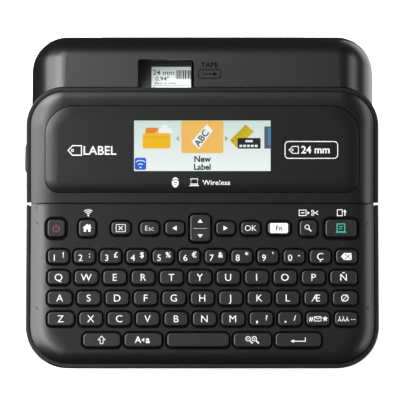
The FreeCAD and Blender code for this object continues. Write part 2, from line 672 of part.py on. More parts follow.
def compartment_cover():
    start = SPLIT_Z + 0.2
    outside = hood_blank(0).common(box(-FAR, HOOD_FRONT_Y + 0.3, start, FAR, FAR, FAR))
    shell = outside.cut(hood_blank(HOOD_WALL))
    shell = shell.cut(housing_passage(0.4))
    window = plate(TAPE_WINDOW_X[0], TAPE_WINDOW_Y[0], HOOD_TOP - 10, TAPE_WINDOW_X[1], TAPE_WINDOW_Y[1],
                   HOOD_TOP + 5, 1.4)
    step = plate(TAPE_WINDOW_X[0] - 2, TAPE_WINDOW_Y[0] - 2, HOOD_TOP - 10, TAPE_WINDOW_X[1] + 2,
                 TAPE_WINDOW_Y[1] + 2, HOOD_TOP - 1.4, 2)
    shell = shell.cut(window.fuse(step))
    y = REAR_Y - HINGE_RADIUS
    barrel = cylinder_x(y, SPLIT_Z, -HINGE_HALF, HINGE_HALF, HINGE_RADIUS)
    web = box(-HINGE_HALF, y - 0.5, SPLIT_Z, HINGE_HALF, REAR_Y, SPLIT_Z + 4)
    knuckle_room = box(-KNUCKLE_END - 0.4, y - KNUCKLE_RADIUS - 0.4, SPLIT_Z - 5, KNUCKLE_END + 0.4,
                       REAR_Y + 1, SPLIT_Z + KNUCKLE_RADIUS + 0.4)
    shell = shell.cut(knuckle_room)
    middle = box(-HINGE_HALF + 14, y - 8, SPLIT_Z - 5, HINGE_HALF - 14, REAR_Y - 1.2, SPLIT_Z + 3.4)
    shell = joined([shell, barrel.fuse(web).common(box(-FAR, 0, 0, FAR, REAR_Y, FAR)).cut(middle)])
    return shell.cut(cylinder_x(y, SPLIT_Z, -HINGE_HALF - 1, HINGE_HALF + 1, HINGE_PIN_RADIUS + RUN_FIT))


def tape_window():
    """A clear pane held in the step under the hood's window, trimmed where the display housing passes."""
    x0, x1 = TAPE_WINDOW_X
    y1 = TAPE_WINDOW_Y[1]
    pane = plate(x0 - 1.8, TAPE_WINDOW_Y[0] - 1.8, HOOD_TOP - HOOD_WALL - 0.2, x1 + 1.8, y1 + 1.8,
                 HOOD_TOP - 1.5, 1.8)
    half = WIDTH / 2
    slab_room = plate(-half, -30, -HOUSING_DEPTH - 0.6, half, DISPLAY_LENGTH + 0.6, 30, 0, DISPLAY_CORNER)
    return pane.cut(in_display(slab_room))


def cover_hinge_pins():
    y = REAR_Y - HINGE_RADIUS
    pins = []
    for side in (-1, 1):
        x0, x1 = sorted((side * (HINGE_HALF - 12), side * (HINGE_HALF + 4.1)))
        pins.append(cylinder_x(y, SPLIT_Z, x0, x1, HINGE_PIN_RADIUS))
    return pins


def cover_release_button():
    inside = -BODY_WIDTH / 2 + WALL + 1.6
    pad = plate(-4, BUTTON_Y[0], 0, 4, BUTTON_Y[1], BUTTON_OUT + inside, 3.9)
    pad = rounded_top(pad, 1.5)
    pad.Placement = FreeCAD.Placement(
        FreeCAD.Vector(inside, 0, sum(BUTTON_Z) / 2), FreeCAD.Rotation(FreeCAD.Vector(0, 1, 0), -90)
    )
    hook = box(inside, BUTTON_Y[0] - 1.5, BUTTON_Z[0] - 1.5, inside + 1.2, BUTTON_Y[1] + 1.5,
               BUTTON_Z[1] + 1.5)
    return pad.fuse(hook).removeSplitter()


def rubber_feet():
    feet = []
    for x, y in FEET:
        foot = cylinder(x, y, 0, FOOT_HEIGHT + FOOT_RECESS, FOOT_RADIUS)
        feet.append(foot.makeChamfer(0.5, edges_at(foot, 0)))
    return feet


def case_screws():
    """Eight screws: pan heads in the case's counterbores, shanks up into pillars and tray legs."""
    screws = []
    for x, y in PILLARS + TRAY_LEGS:
        head_radius = 2.1 if (x, y) in PILLARS else 2.6
        head = cylinder(x, y, SCREW_SEAT - 2.0, SCREW_SEAT, head_radius)
        slot = box(x - head_radius, y - 0.3, SCREW_SEAT - 3, x + head_radius, y + 0.3, SCREW_SEAT - 1.2)
        shank = cylinder(x, y, SCREW_SEAT, BOSS_TOP + SCREW_REACH, SCREW_SHANK)
        screws.append(head.cut(slot).fuse(shank).removeSplitter())
    return screws


# --- inside, under the keys and the display ---
def keypad_board():
    board = plate(-89.4, 9, -6.2, 89.4, 90, -4.8, 3)
    return in_keys(board)


def key_mat():
    """A rubber sheet with a ring-shaped dome under every key."""
    mat = [plate(-89.2, 9.2, -4.8, 89.2, 89.8, -4.0, 3)]
    domes = []
    for rectangles in KEYS.values():
        for x0, s0, x1, s1 in rectangles:
            x = (x0 + x1) / 2
            s = (s0 + s1) / 2
            domes.append(Part.makeCone(3.6, 2.4, 1.6, FreeCAD.Vector(x, s, -4.0)))
    return in_keys(joined(mat + domes))


def board_posts():
    """The four posts of the case that the main board sits on."""
    x0, y0, z0, x1, y1, _ = MAIN_BOARD
    floor = FOOT_HEIGHT + WALL - 0.5
    return [cylinder(x, y, floor, z0, 2.5) for x in (x0 + 5, x1 - 5) for y in (y0 + 5, y1 - 5)]


def main_board():
    return plate(*MAIN_BOARD, 2)


def board_components():
    top = MAIN_BOARD[5]
    chips = [
        (-20, -30, 20, 20, 1.6),
        (20, -34, 14, 10, 1.4),
        (-45, -10, 9, 12, 2.2),
        (10, 0, 12, 12, 4.0),
        (45, -5, 16, 9, 3.0),
        (48, -38, 18, 12, 2.0),
    ]
    return [plate(x, y, top, x + w, y + d, top + h, 0.4) for x, y, w, d, h in chips]


def dc_jack():
    y, z = JACK_CENTRE
    inner = BODY_WIDTH / 2 - 13
    outer = BODY_WIDTH / 2 - 0.4
    block = box(inner, y - JACK_RADIUS, z - 5.4, BODY_WIDTH / 2 - WALL - 0.2, y + JACK_RADIUS, z + 5.2)
    barrel = cylinder_x(y, z, inner, outer, JACK_RADIUS)
    socket = block.fuse(barrel).cut(cylinder_x(y, z, inner + 2, outer + 1, JACK_BORE_RADIUS))
    return socket.fuse(cylinder_x(y, z, inner + 1, outer - 1.5, JACK_PIN_RADIUS)).removeSplitter()


def usb_port():
    y, z = USB_CENTRE
    inner = BODY_WIDTH / 2 - 9
    outer = BODY_WIDTH / 2 - 0.5
    half_y, half_z = USB_SIZE[0] / 2, USB_SIZE[1] / 2
    sheet = 0.4
    shell = box(inner, y - half_y, z - half_z, outer, y + half_y, z + half_z)
    mouth = box(inner + 2, y - half_y + sheet, z - half_z + sheet, outer + 1, y + half_y - sheet,
                z + half_z - sheet)
    tongue = box(inner + 1, y - 2.6, z - 0.1, outer - 2, y + 2.6, z + 0.7)
    return shell.cut(mouth).fuse(tongue).removeSplitter()


# --- compartment ---
def slab_underside(y):
    """Height of the display housing's underside above a given y."""
    return display_point(0, -HOUSING_DEPTH)[1] + (y - display_point(0, -HOUSING_DEPTH)[0]) * math.tan(
        math.radians(DISPLAY_SLOPE)
    )


def compartment_tray():
    half = BODY_WIDTH / 2 - WALL - 0.4
    rear = REAR_Y - WALL - 0.4
    low = DECK_Z - DECK_THICKNESS
    deck = plate(-half, BAY_FRONT_Y - 2, low, half, rear, DECK_Z, 1, HOOD_CORNER - WALL - 0.4)
    front = box(-half, BAY_FRONT_Y - 2, low, half, BAY_FRONT_Y, slab_underside(BAY_FRONT_Y - 2) - 0.4)
    divider = box(-3, BAY_FRONT_Y, low, -1, rear - 10, 66)
    x0, y0, z0 = CELL_START
    ends = [box(x, y0 - 8.4, low, x + 2, y0 + 2 * CELL_PITCH + 8.6, z0 + CELL_PITCH + 4)
            for x in (x0 - 6, x0 + CELL_LENGTH + 4)]
    legs = [cylinder(x, y, BOSS_TOP, DECK_Z - 1, BOSS_RADIUS) for x, y in TRAY_LEGS]
    tray = joined([deck, front, divider] + ends + legs)
    cuts = [cylinder(x, y, BOSS_TOP - 1, BOSS_TOP + 8, SCREW_SHANK) for x, y in TRAY_LEGS]
    return tray.cut(cuts[0].multiFuse(cuts[1:]))


def battery_cells():
    x0, y0, z0 = CELL_START
    cells = []
    for layer in range(2):
        for column in range(3):
            y = y0 + column * CELL_PITCH
            z = z0 + layer * CELL_PITCH
            can = cylinder_x(y, z, x0, x0 + CELL_LENGTH - 1.2, CELL_RADIUS)
            nub = cylinder_x(y, z, x0 + CELL_LENGTH - 1.2, x0 + CELL_LENGTH, 2.7)
            cell = can.fuse(nub).removeSplitter()
            if (layer + column) % 2:
                cell.rotate(FreeCAD.Vector(x0 + CELL_LENGTH / 2, y, z), FreeCAD.Vector(0, 0, 1), 180)
            cells.append(cell)
    return cells


def battery_contacts():
    x0, y0, z0 = CELL_START
    contacts = []
    for x in (x0 - 4, x0 + CELL_LENGTH + 3.5):
        for layer in range(2):
            z = z0 + layer * CELL_PITCH
            strip = box(x, y0 - 5, z - 5, x + 0.5, y0 + 2 * CELL_PITCH + 5, z + 5)
            spring_x = (x + 0.5, x0 - 0.1) if x < x0 else (x0 + CELL_LENGTH + 0.1, x)
            coils = [cylinder_x(y0 + i * CELL_PITCH, z, spring_x[0], spring_x[1], 3.0) for i in range(3)]
            contacts.append(joined([strip] + coils))
    return contacts


# --- tape mechanism ---
def print_chassis():
    """The steel plate under the cassette with the posts that the drive turns on."""
    half = BODY_WIDTH / 2 - WALL - 0.5
    sheet = plate(-half, BAY_FRONT_Y + 0.3, DECK_Z, -3.4, CASSETTE[4], PLATE_Z, 1, 14)
    posts = [
        cylinder(IDLER_XY[0], IDLER_XY[1], PLATE_Z - 0.2, GEAR_Z + GEAR_THICKNESS + 0.5, POST_RADIUS),
        cylinder(RIBBON_XY[0], RIBBON_XY[1], PLATE_Z - 0.2, CASSETTE[2] + 20, SHAFT_RADIUS),
        cylinder(HOLDER_PIVOT_XY[0], HOLDER_PIVOT_XY[1], PLATE_Z - 0.2, ROLLER_Z[1] + 3, POST_RADIUS),
        box(-58.6, 44.0, PLATE_Z - 0.2, -46.0, 44.8, 46.0),
    ]
    return joined([sheet] + posts)


def print_head():
    y = ROLLER_XY[1] + ROLLER_RADIUS + HEAD_GAP
    return box(ROLLER_XY[0] - 5, y, ROLLER_Z[0] - 1, ROLLER_XY[0] + 5, y + HEAD_THICKNESS,
               ROLLER_Z[1] + 1)


def heat_sink():
    y = ROLLER_XY[1] + ROLLER_RADIUS + HEAD_GAP + HEAD_THICKNESS
    low = GEAR_Z + GEAR_THICKNESS + 0.6
    back = box(ROLLER_XY[0] - 5.5, y, low, ROLLER_XY[0] + 5.5, y + 1.6, ROLLER_Z[1] + 1)
    leg = box(ROLLER_XY[0] - 5.5, y + 1.6, PLATE_Z, ROLLER_XY[0] - 3.0, y + 4.0, low + 4)
    fins = [box(ROLLER_XY[0] - 5.5 + 2.4 * i, y + 1.6, ROLLER_Z[0], ROLLER_XY[0] - 4.7 + 2.4 * i, y + 4.6,
                ROLLER_Z[1]) for i in range(5)]
    return joined([back, leg] + fins)


def platen_holder():
    arms = [
        hull_plate(HOLDER_PIVOT_XY, ROLLER_XY, 3.4, ROLLER_Z[0] - 2.2, ROLLER_Z[0] - 0.4),
        hull_plate(HOLDER_PIVOT_XY, ROLLER_XY, 3.4, ROLLER_Z[1] + 0.4, ROLLER_Z[1] + 2.2),
    ]
    x, y = HOLDER_PIVOT_XY
    post = cylinder(x, y, ROLLER_Z[0] - 2.2, ROLLER_Z[1] + 2.2, 3.0)
    holder = joined(arms + [post])
    holder = holder.cut(cylinder(x, y, 0, FAR, POST_RADIUS + RUN_FIT))
    return holder.cut(cylinder(ROLLER_XY[0], ROLLER_XY[1], 0, FAR, SHAFT_RADIUS + RUN_FIT))


def platen_roller():
    x, y = ROLLER_XY
    sleeve = cylinder(x, y, ROLLER_Z[0], ROLLER_Z[1], ROLLER_RADIUS)
    return sleeve.cut(cylinder(x, y, ROLLER_Z[0] - 1, ROLLER_Z[1] + 1, SHAFT_RADIUS))


def roller_shaft():
    return cylinder(ROLLER_XY[0], ROLLER_XY[1], GEAR_Z, ROLLER_Z[1] + 3.4, SHAFT_RADIUS)


def platen_gear():
    phase = mesh_phase(ROLLER_XY, PLATEN_TEETH)
    return gear(*ROLLER_XY, GEAR_Z, PLATEN_TEETH, GEAR_THICKNESS, SHAFT_RADIUS, phase)


def idler_gear():
    return gear(*IDLER_XY, GEAR_Z, IDLER_TEETH, GEAR_THICKNESS, POST_RADIUS + RUN_FIT, IDLER_PHASE)


def motor_pinion():
    wheel = gear(*PINION_XY, GEAR_Z, PINION_TEETH, GEAR_THICKNESS, 0, mesh_phase(PINION_XY, PINION_TEETH))
    return wheel.fuse(cylinder(*PINION_XY, GEAR_Z, 40.0, 1.0)).removeSplitter()


def feed_motor():
    can = cylinder(*PINION_XY, 38.4, 62.0, 6.3)
    cap = cylinder(*PINION_XY, 62.0, 63.5, 3.0)
    return can.fuse(cap).removeSplitter().cut(cylinder(*PINION_XY, 38.0, 40.5, 1.0 + RUN_FIT))


def ribbon_spindle():
    wheel = gear(*RIBBON_XY, GEAR_Z, RIBBON_TEETH, GEAR_THICKNESS, 0, mesh_phase(RIBBON_XY, RIBBON_TEETH))
    post = cylinder(*RIBBON_XY, GEAR_Z, CASSETTE[2] + 22, SPINDLE_RADIUS)
    bore = cylinder(*RIBBON_XY, GEAR_Z - 1, CASSETTE[2] + 20.4, SHAFT_RADIUS + RUN_FIT)
    return wheel.fuse(post).removeSplitter().cut(bore)


def fixed_blade():
    x = BLADE_X + 0.15
    y = TAPE_SLOT_Y[1] + 0.2
    return box(x, y, PLATE_Z, x + BLADE_THICKNESS, y + 4.8, ROLLER_Z[1] + 1.5)


def cutter_blade():
    """A scissor blade on a pivot low in the mechanism, open at rest."""
    y, z = BLADE_PIVOT
    points = [(-2.6, -2.2), (2.6, -2.2), (3.0, 2.3), (-3.6, 30.3), (-8.0, 30.3)]
    corners = [FreeCAD.Vector(BLADE_X - BLADE_THICKNESS, y + dy, z + dz) for dy, dz in points]
    face = Part.Face(Part.makePolygon(corners + corners[:1]))
    blade = face.extrude(FreeCAD.Vector(BLADE_THICKNESS, 0, 0))
    return blade.cut(cylinder_x(y, z, BLADE_X - 3, BLADE_X + 3, BLADE_PIN_RADIUS + RUN_FIT))


def cutter_motor():
    """The cutter's motor box on a foot, with an arm that ends in the blade's pivot pin."""
    y, z = BLADE_PIVOT
    x = BLADE_X + 2.2
    front = BAY_FRONT_Y + 0.6
    can = box(x, front, CUTTER_LOW, x + 7.8, front + 7.4, CUTTER_LOW + 19.4)
    foot = box(x, front, PLATE_Z, x + 4.8, front + 5.4, CUTTER_LOW + 0.4)
    arm = box(x, front + 5.0, PLATE_Z, x + 1.0, y + 1.5, PLATE_Z + 6)
    pin = cylinder_x(y, z, BLADE_X - 1.6, x + 1.0, BLADE_PIN_RADIUS)
    return joined([can, foot, arm, pin])


# --- cassette ---
def cassette_outline(inset, z0, z1):
    x0, y0, _, x1, y1, _ = CASSETTE
    block = plate(x0 + inset, y0 + inset, z0, x1 - inset, y1 - inset, z1, max(3.0 - inset, 0.5))
    nx0, ny0, nx1, ny1 = NOTCH
    return block.cut(box(nx0 - 5, ny0 - 5, z0 - 1, nx1 + inset, ny1 + inset, z1 + 1))


def cassette_shell():
    _, _, z0, _, _, z1 = CASSETTE
    inside = cassette_outline(CASSETTE_WALL, z0 + CASSETTE_WALL, z1)
    shell = cassette_outline(0, z0, z1 - LID_THICKNESS).cut(inside)
    hole = cylinder(*RIBBON_XY, z0 - 1, z0 + 3, SPINDLE_RADIUS + 0.6)
    hub = cylinder(*TAPE_SPOOL_XY, z0 + 1, z0 + 12, HUB_RADIUS)
    return shell.fuse(hub).removeSplitter().cut(hole)


def cassette_lid():
    """The lid, with a shallow ledge along its rear behind the label."""
    x0, _, _, x1, y1, z1 = CASSETTE
    ledge = box(x0 - 1, LABEL_REAR, z1 - 0.6, x1 + 1, y1 + 1, z1 + 1)
    return cassette_outline(0, z1 - LID_THICKNESS, z1).cut(ledge)


def tape_spool():
    z0 = CASSETTE[2] + 2.4
    roll = cylinder(*TAPE_SPOOL_XY, z0, z0 + TAPE_WIDTH, TAPE_SPOOL_RADIUS)
    return roll.cut(cylinder(*TAPE_SPOOL_XY, z0 - 1, z0 + TAPE_WIDTH + 1, HUB_RADIUS + RUN_FIT))


def ribbon_spool():
    z0 = CASSETTE[2] + 2.4
    roll = cylinder(*RIBBON_XY, z0, z0 + TAPE_WIDTH, RIBBON_RADIUS)
    return roll.cut(cylinder(*RIBBON_XY, z0 - 1, z0 + 20, SPINDLE_RADIUS))


def build_nodes():
    nodes = key_nodes()
    nodes.update({
        "base_case": [base_case()],
        "keyboard_cover": [keyboard_cover()],
        "display_housing": [display_housing()],
        "display_cover": [display_cover()],
        "display_bezel": [display_bezel()],
        "display_window": [display_window()],
        "lcd_module": [lcd_module()],
        "compartment_cover": [compartment_cover()],
        "tape_window": [tape_window()],
        "cover_hinge_pins": cover_hinge_pins(),
        "cover_release_button": [cover_release_button()],
        "rubber_feet": rubber_feet(),
        "case_screws": case_screws(),
        "keypad_board": [keypad_board()],
        "key_mat": [key_mat()],
        "main_board": [main_board()],
        "board_components": board_components(),
        "dc_jack": [dc_jack()],
        "usb_port": [usb_port()],
        "compartment_tray": [compartment_tray()],
        "battery_cells": battery_cells(),
        "battery_contacts": battery_contacts(),
        "print_chassis": [print_chassis()],
        "print_head": [print_head()],
        "heat_sink": [heat_sink()],
        "platen_holder": [platen_holder()],
        "platen_roller": [platen_roller()],
        "roller_shaft": [roller_shaft()],
        "platen_gear": [platen_gear()],
        "idler_gear": [idler_gear()],
        "motor_pinion": [motor_pinion()],
        "feed_motor": [feed_motor()],
        "ribbon_spindle": [ribbon_spindle()],
        "fixed_blade": [fixed_blade()],
        "cutter_blade": [cutter_blade()],
        "cutter_motor": [cutter_motor()],
        "cassette_shell": [cassette_shell()],
        "cassette_lid": [cassette_lid()],
        "tape_spool": [tape_spool()],
        "ribbon_spool": [ribbon_spool()],
    })
    return nodes


def main():
    os.makedirs("parts", exist_ok=True)
    for name, solids in build_nodes().items():
        shape = solids[0] if len(solids) == 1 else Part.makeCompound(solids)
        shape.exportStep(f"parts/{name}.step")
        print(name, len(shape.Solids), shape.isValid(), round(shape.Volume))


main()
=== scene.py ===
import json
import math

import bmesh
import bpy
from mathutils import Matrix, Vector
from mathutils.bvhtree import BVHTree


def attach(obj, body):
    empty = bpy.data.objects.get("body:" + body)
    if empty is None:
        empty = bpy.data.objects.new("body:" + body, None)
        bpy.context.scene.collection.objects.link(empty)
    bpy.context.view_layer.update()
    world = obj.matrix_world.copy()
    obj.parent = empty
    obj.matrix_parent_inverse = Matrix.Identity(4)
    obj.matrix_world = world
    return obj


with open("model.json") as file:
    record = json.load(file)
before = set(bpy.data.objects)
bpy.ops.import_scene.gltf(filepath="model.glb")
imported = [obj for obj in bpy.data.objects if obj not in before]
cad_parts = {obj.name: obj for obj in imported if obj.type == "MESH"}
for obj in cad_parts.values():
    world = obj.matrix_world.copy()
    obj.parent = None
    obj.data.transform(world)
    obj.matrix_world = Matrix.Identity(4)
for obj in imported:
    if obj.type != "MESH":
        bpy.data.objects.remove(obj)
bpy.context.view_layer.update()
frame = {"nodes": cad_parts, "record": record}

# Metres throughout; marks and drawings are laid out in millimetres on a surface's own plane.
MM = 0.001
NODES = frame["nodes"]

# --- the planes that marks lie on: x to the right, s up the slope, n out of the surface ---
KEY_SLOPE = math.radians(14)
DISPLAY_SLOPE = math.radians(27)
KEY_LENGTH = 95.3 * MM
FRONT_Y = -96.1 * MM
FRONT_Z = 33.2 * MM
KEY_PLANE = Matrix.Translation((0, FRONT_Y, FRONT_Z)) @ Matrix.Rotation(KEY_SLOPE, 4, "X")
CREASE_POINT = KEY_PLANE @ Vector((0, KEY_LENGTH, 0))
DISPLAY_PLANE = Matrix.Translation(CREASE_POINT) @ Matrix.Rotation(DISPLAY_SLOPE, 4, "X")
TOP_PLANE = Matrix.Identity(4)
UNDER_PLANE = Matrix.Rotation(math.pi, 4, "Y")

# --- printed films, in millimetres: their thickness, and the hair's breadth they stand off ---
INK = 0.02
HAIR = 0.004

# --- faces that meet at more than this stay sharp when the rest is shaded smooth ---
SHARP_ANGLE = math.radians(28)

# --- the keyboard, in millimetres on the key plane ---
PLATE_TOP = 3.0  # the keyboard cover's face
TOP_BAND = 0.5  # how far under that face a point still counts as part of the outside
KEY_GAP = 0.85  # from a key's side to the cover
KEY_ROUND = 2.58  # a key's corners
EDGE_ROUND = 0.8  # past the rounding of an opening's edge
GAP_SHADE_DEPTH = 0.5  # the painted shade strip in each key's gap, below the face
GAP_SHADE_CLEAR = 0.12  # from that strip to a key that goes straight down
ROCKER_CLEAR = 0.35  # from that strip to the key that rocks
# widths of the painted shade ring on the cover round each opening, and round the power and print keys
SHADE_RING = 0.45
WIDE_SHADE_RING = 1.0
LETTER = 4.0
DIGIT = 3.6
CREASE = 0.5  # the painted shade line's width
CREASE_BACK = 0.05  # and how far it stays off the cover's rear edge
CREASE_INSET = 3.0  # and off its sides
CREASE_STEPS = 100

# --- the display, in millimetres on its plane ---
SEAM = 0.25  # half the painted shade strip's width
SEAM_OUT = 1.004  # the painted shade strip's height is taken this much further out, on the housing
REAR_ROUND = 16.5
FRONT_ROUND = 8.0
BADGE = (-15.4, 12.1)
SCREEN = (-39.4, 18.1, 39.4, 47.8)
SCREEN_LEVEL = 0.87  # the lit layer, under the window
BORDER = 0.44

# --- the view: a long lens above the table and square to the front ---
TARGET = Vector((-1.3 * MM, 6.5 * MM, 40.0 * MM))
ELEVATION = math.radians(64)
DISTANCE = 4.0
FIELD = 229.4 * MM
SENSOR = 36.0


# ---------------------------------------------------------------- materials
def new_material(name):
    material = bpy.data.materials.new(name)
    material.use_nodes = True
    return material, material.node_tree, material.node_tree.nodes["Principled BSDF"]


def add(tree, kind, **sockets):
    node = tree.nodes.new("ShaderNode" + kind)
    for name, value in sockets.items():
        node.inputs[name.replace("_", " ")].default_value = value
    return node


def object_coords(tree):
    return add(tree, "TexCoord").outputs["Object"]


def noise(tree, scale, detail=2.0, roughness=0.5):
    node = add(tree, "TexNoise", Scale=scale, Detail=detail, Roughness=roughness)
    tree.links.new(object_coords(tree), node.inputs["Vector"])
    return node.outputs["Fac"]


def spread(tree, source, low, high, start=0.3, end=0.7):
    """Maps a 0 to 1 pattern onto low to high."""
    node = add(tree, "MapRange")
    node.inputs["From Min"].default_value = start
    node.inputs["From Max"].default_value = end
    node.inputs["To Min"].default_value = low
    node.inputs["To Max"].default_value = high
    tree.links.new(source, node.inputs["Value"])
    return node.outputs["Result"]


def mix(tree, factor, first, second):
    node = tree.nodes.new("ShaderNodeMix")
    node.data_type = "RGBA"
    node.inputs["A"].default_value = (*first, 1)
    node.inputs["B"].default_value = (*second, 1)
    tree.links.new(factor, node.inputs["Factor"])
    return node.outputs["Result"]


def bump(tree, height, strength, distance):
    node = add(tree, "Bump", Strength=strength, Distance=distance)
    tree.links.new(height, node.inputs["Height"])
    return node.outputs["Normal"]


def shade(colour, factor):
    return tuple(c * factor for c in colour)


def plastic(name, colour, roughness, grain=2400.0, grain_depth=0.25, vary=0.18, specular=0.5, wear_and_edge_highlight=0.0):
    """Moulded plastic: fine eroded grain, cloudy colour, uneven gloss and, if asked, paler convex edges
    that are part wear and part painted highlight.
    """
    material, tree, shader = new_material(name)
    shader.inputs["Specular IOR Level"].default_value = specular
    clouds = noise(tree, 22.0, 4.0)
    tone = mix(tree, clouds, shade(colour, 1 - vary), shade(colour, 1 + vary))
    # Convex edges made paler: part real wear, part painted highlight of the rim light.
    if wear_and_edge_highlight:
        edges = add(tree, "NewGeometry").outputs["Pointiness"]
        wear_and_highlight_mask = spread(tree, edges, 0.0, wear_and_edge_highlight, 0.52, 0.62)
        worn_and_lit_edges = tree.nodes.new("ShaderNodeMix")
        worn_and_lit_edges.data_type = "RGBA"
        worn_and_lit_edges.inputs["B"].default_value = (*shade(colour, 3.0), 1)
        tree.links.new(wear_and_highlight_mask, worn_and_lit_edges.inputs["Factor"])
        tree.links.new(tone, worn_and_lit_edges.inputs["A"])
        tone = worn_and_lit_edges.outputs["Result"]
    tree.links.new(tone, shader.inputs["Base Color"])
    gloss = spread(tree, noise(tree, 420.0, 4.0, 0.6), roughness - 0.015, roughness + 0.015)
    tree.links.new(gloss, shader.inputs["Roughness"])
    normal = bump(tree, noise(tree, grain, 3.0, 0.6), grain_depth, 0.00005)
    tree.links.new(normal, shader.inputs["Normal"])
    return material


def ink(name, colour):
    """Screen-printed ink with a slightly uneven film."""
    material, tree, shader = new_material(name)
    film = noise(tree, 1500.0, 2.0)
    tree.links.new(mix(tree, film, shade(colour, 0.93), colour), shader.inputs["Base Color"])
    tree.links.new(spread(tree, film, 0.45, 0.6), shader.inputs["Roughness"])
    return material


def metal(name, colour, roughness, stretch=(1.0, 1.0, 1.0)):
    """Bare metal with fine brushed or rolled lines along one direction."""
    material, tree, shader = new_material(name)
    shader.inputs["Metallic"].default_value = 1.0
    mapping = add(tree, "Mapping")
    mapping.inputs["Scale"].default_value = stretch
    tree.links.new(object_coords(tree), mapping.inputs["Vector"])
    texture = add(tree, "TexNoise", Scale=900.0, Detail=3.0)
    tree.links.new(mapping.outputs["Vector"], texture.inputs["Vector"])
    lines = texture.outputs["Fac"]
    tree.links.new(mix(tree, lines, shade(colour, 0.85), colour), shader.inputs["Base Color"])
    tree.links.new(spread(tree, lines, roughness - 0.08, roughness + 0.1), shader.inputs["Roughness"])
    tree.links.new(bump(tree, lines, 0.15, 0.00002), shader.inputs["Normal"])
    return material


def rubber(name, colour):
    """Dull rubber with a little paler dust."""
    material, tree, shader = new_material(name)
    shader.inputs["Specular IOR Level"].default_value = 0.3
    dust = noise(tree, 300.0, 5.0, 0.7)
    tree.links.new(mix(tree, dust, colour, shade(colour, 1.6)), shader.inputs["Base Color"])
    tree.links.new(spread(tree, dust, 0.75, 0.9), shader.inputs["Roughness"])
    tree.links.new(bump(tree, noise(tree, 1800.0, 2.0), 0.3, 0.00006), shader.inputs["Normal"])
    return material


def clear_pane(name):
    """Clear acrylic: it lets light straight through; only its outer side reflects, more at a slant."""
    material = bpy.data.materials.new(name)
    material.use_nodes = True
    tree = material.node_tree
    tree.nodes.remove(tree.nodes["Principled BSDF"])
    through = add(tree, "BsdfTransparent", Color=(0.96, 0.98, 0.98, 1))
    mirror = add(tree, "BsdfGlossy", Color=(1, 1, 1, 1))
    tree.links.new(spread(tree, noise(tree, 160.0, 4.0), 0.02, 0.07), mirror.inputs["Roughness"])
    angle = add(tree, "Fresnel", IOR=1.4)
    entering = tree.nodes.new("ShaderNodeMix")
    entering.inputs["B"].default_value = 0.0
    tree.links.new(add(tree, "NewGeometry").outputs["Backfacing"], entering.inputs["Factor"])
    tree.links.new(angle.outputs["Fac"], entering.inputs["A"])
    blend = add(tree, "MixShader")
    tree.links.new(entering.outputs["Result"], blend.inputs["Fac"])
    tree.links.new(through.outputs["BSDF"], blend.inputs[1])
    tree.links.new(mirror.outputs["BSDF"], blend.inputs[2])
    tree.links.new(blend.outputs["Shader"], tree.nodes["Material Output"].inputs["Surface"])
    return material


def glowing(name, colour, other=None, start=0.0, end=1.0):
    """Lit pixels: a fine dark grid over a colour, or over a fade between two colours up the slope."""
    material, tree, shader = new_material(name)
    shader.inputs["Roughness"].default_value = 0.35
    shader.inputs["Emission Strength"].default_value = 1.0
    pixels = add(tree, "TexBrick", Scale=4000.0)
    pixels.offset = 0.0
    pixels.inputs["Mortar Size"].default_value = 0.03
    pixels.inputs["Brick Width"].default_value = 1.0
    pixels.inputs["Row Height"].default_value = 1.0
    pixels.inputs["Mortar"].default_value = (0.9, 0.9, 0.9, 1)
    pixels.inputs["Color1"].default_value = (1, 1, 1, 1)
    pixels.inputs["Color2"].default_value = (0.97, 0.97, 0.97, 1)
    tree.links.new(object_coords(tree), pixels.inputs["Vector"])
    tone = tree.nodes.new("ShaderNodeMix")
    tone.data_type = "RGBA"
    tone.blend_type = "MULTIPLY"
    tone.inputs["Factor"].default_value = 1.0
    if other:
        place = add(tree, "SeparateXYZ")
        tree.links.new(object_coords(tree), place.inputs["Vector"])
        fade = spread(tree, place.outputs["Y"], 0.0, 1.0, start, end)
        tree.links.new(mix(tree, fade, colour, other), tone.inputs["A"])
    else:
        tone.inputs["A"].default_value = (*colour, 1)
    tree.links.new(pixels.outputs["Color"], tone.inputs["B"])
    tree.links.new(tone.outputs["Result"], shader.inputs["Emission Color"])
    shader.inputs["Base Color"].default_value = (0.01, 0.01, 0.01, 1)
    shader.inputs["Specular IOR Level"].default_value = 0.1
    return material


def banded(name, axis, low_colour, high_colour, at):
    """Two colours that meet at one place along an axis, under a glossy film."""
    material, tree, shader = new_material(name)
    shader.inputs["Coat Weight"].default_value = 0.6
    place = add(tree, "SeparateXYZ")
    tree.links.new(object_coords(tree), place.inputs["Vector"])
    side = spread(tree, place.outputs[axis], 0.0, 1.0, at - 0.0001, at + 0.0001)
    tree.links.new(mix(tree, side, low_colour, high_colour), shader.inputs["Base Color"])
    tree.links.new(spread(tree, noise(tree, 200.0, 3.0), 0.2, 0.33), shader.inputs["Roughness"])
    tree.links.new(bump(tree, noise(tree, 700.0, 2.0), 0.1, 0.00003), shader.inputs["Normal"])
    return material


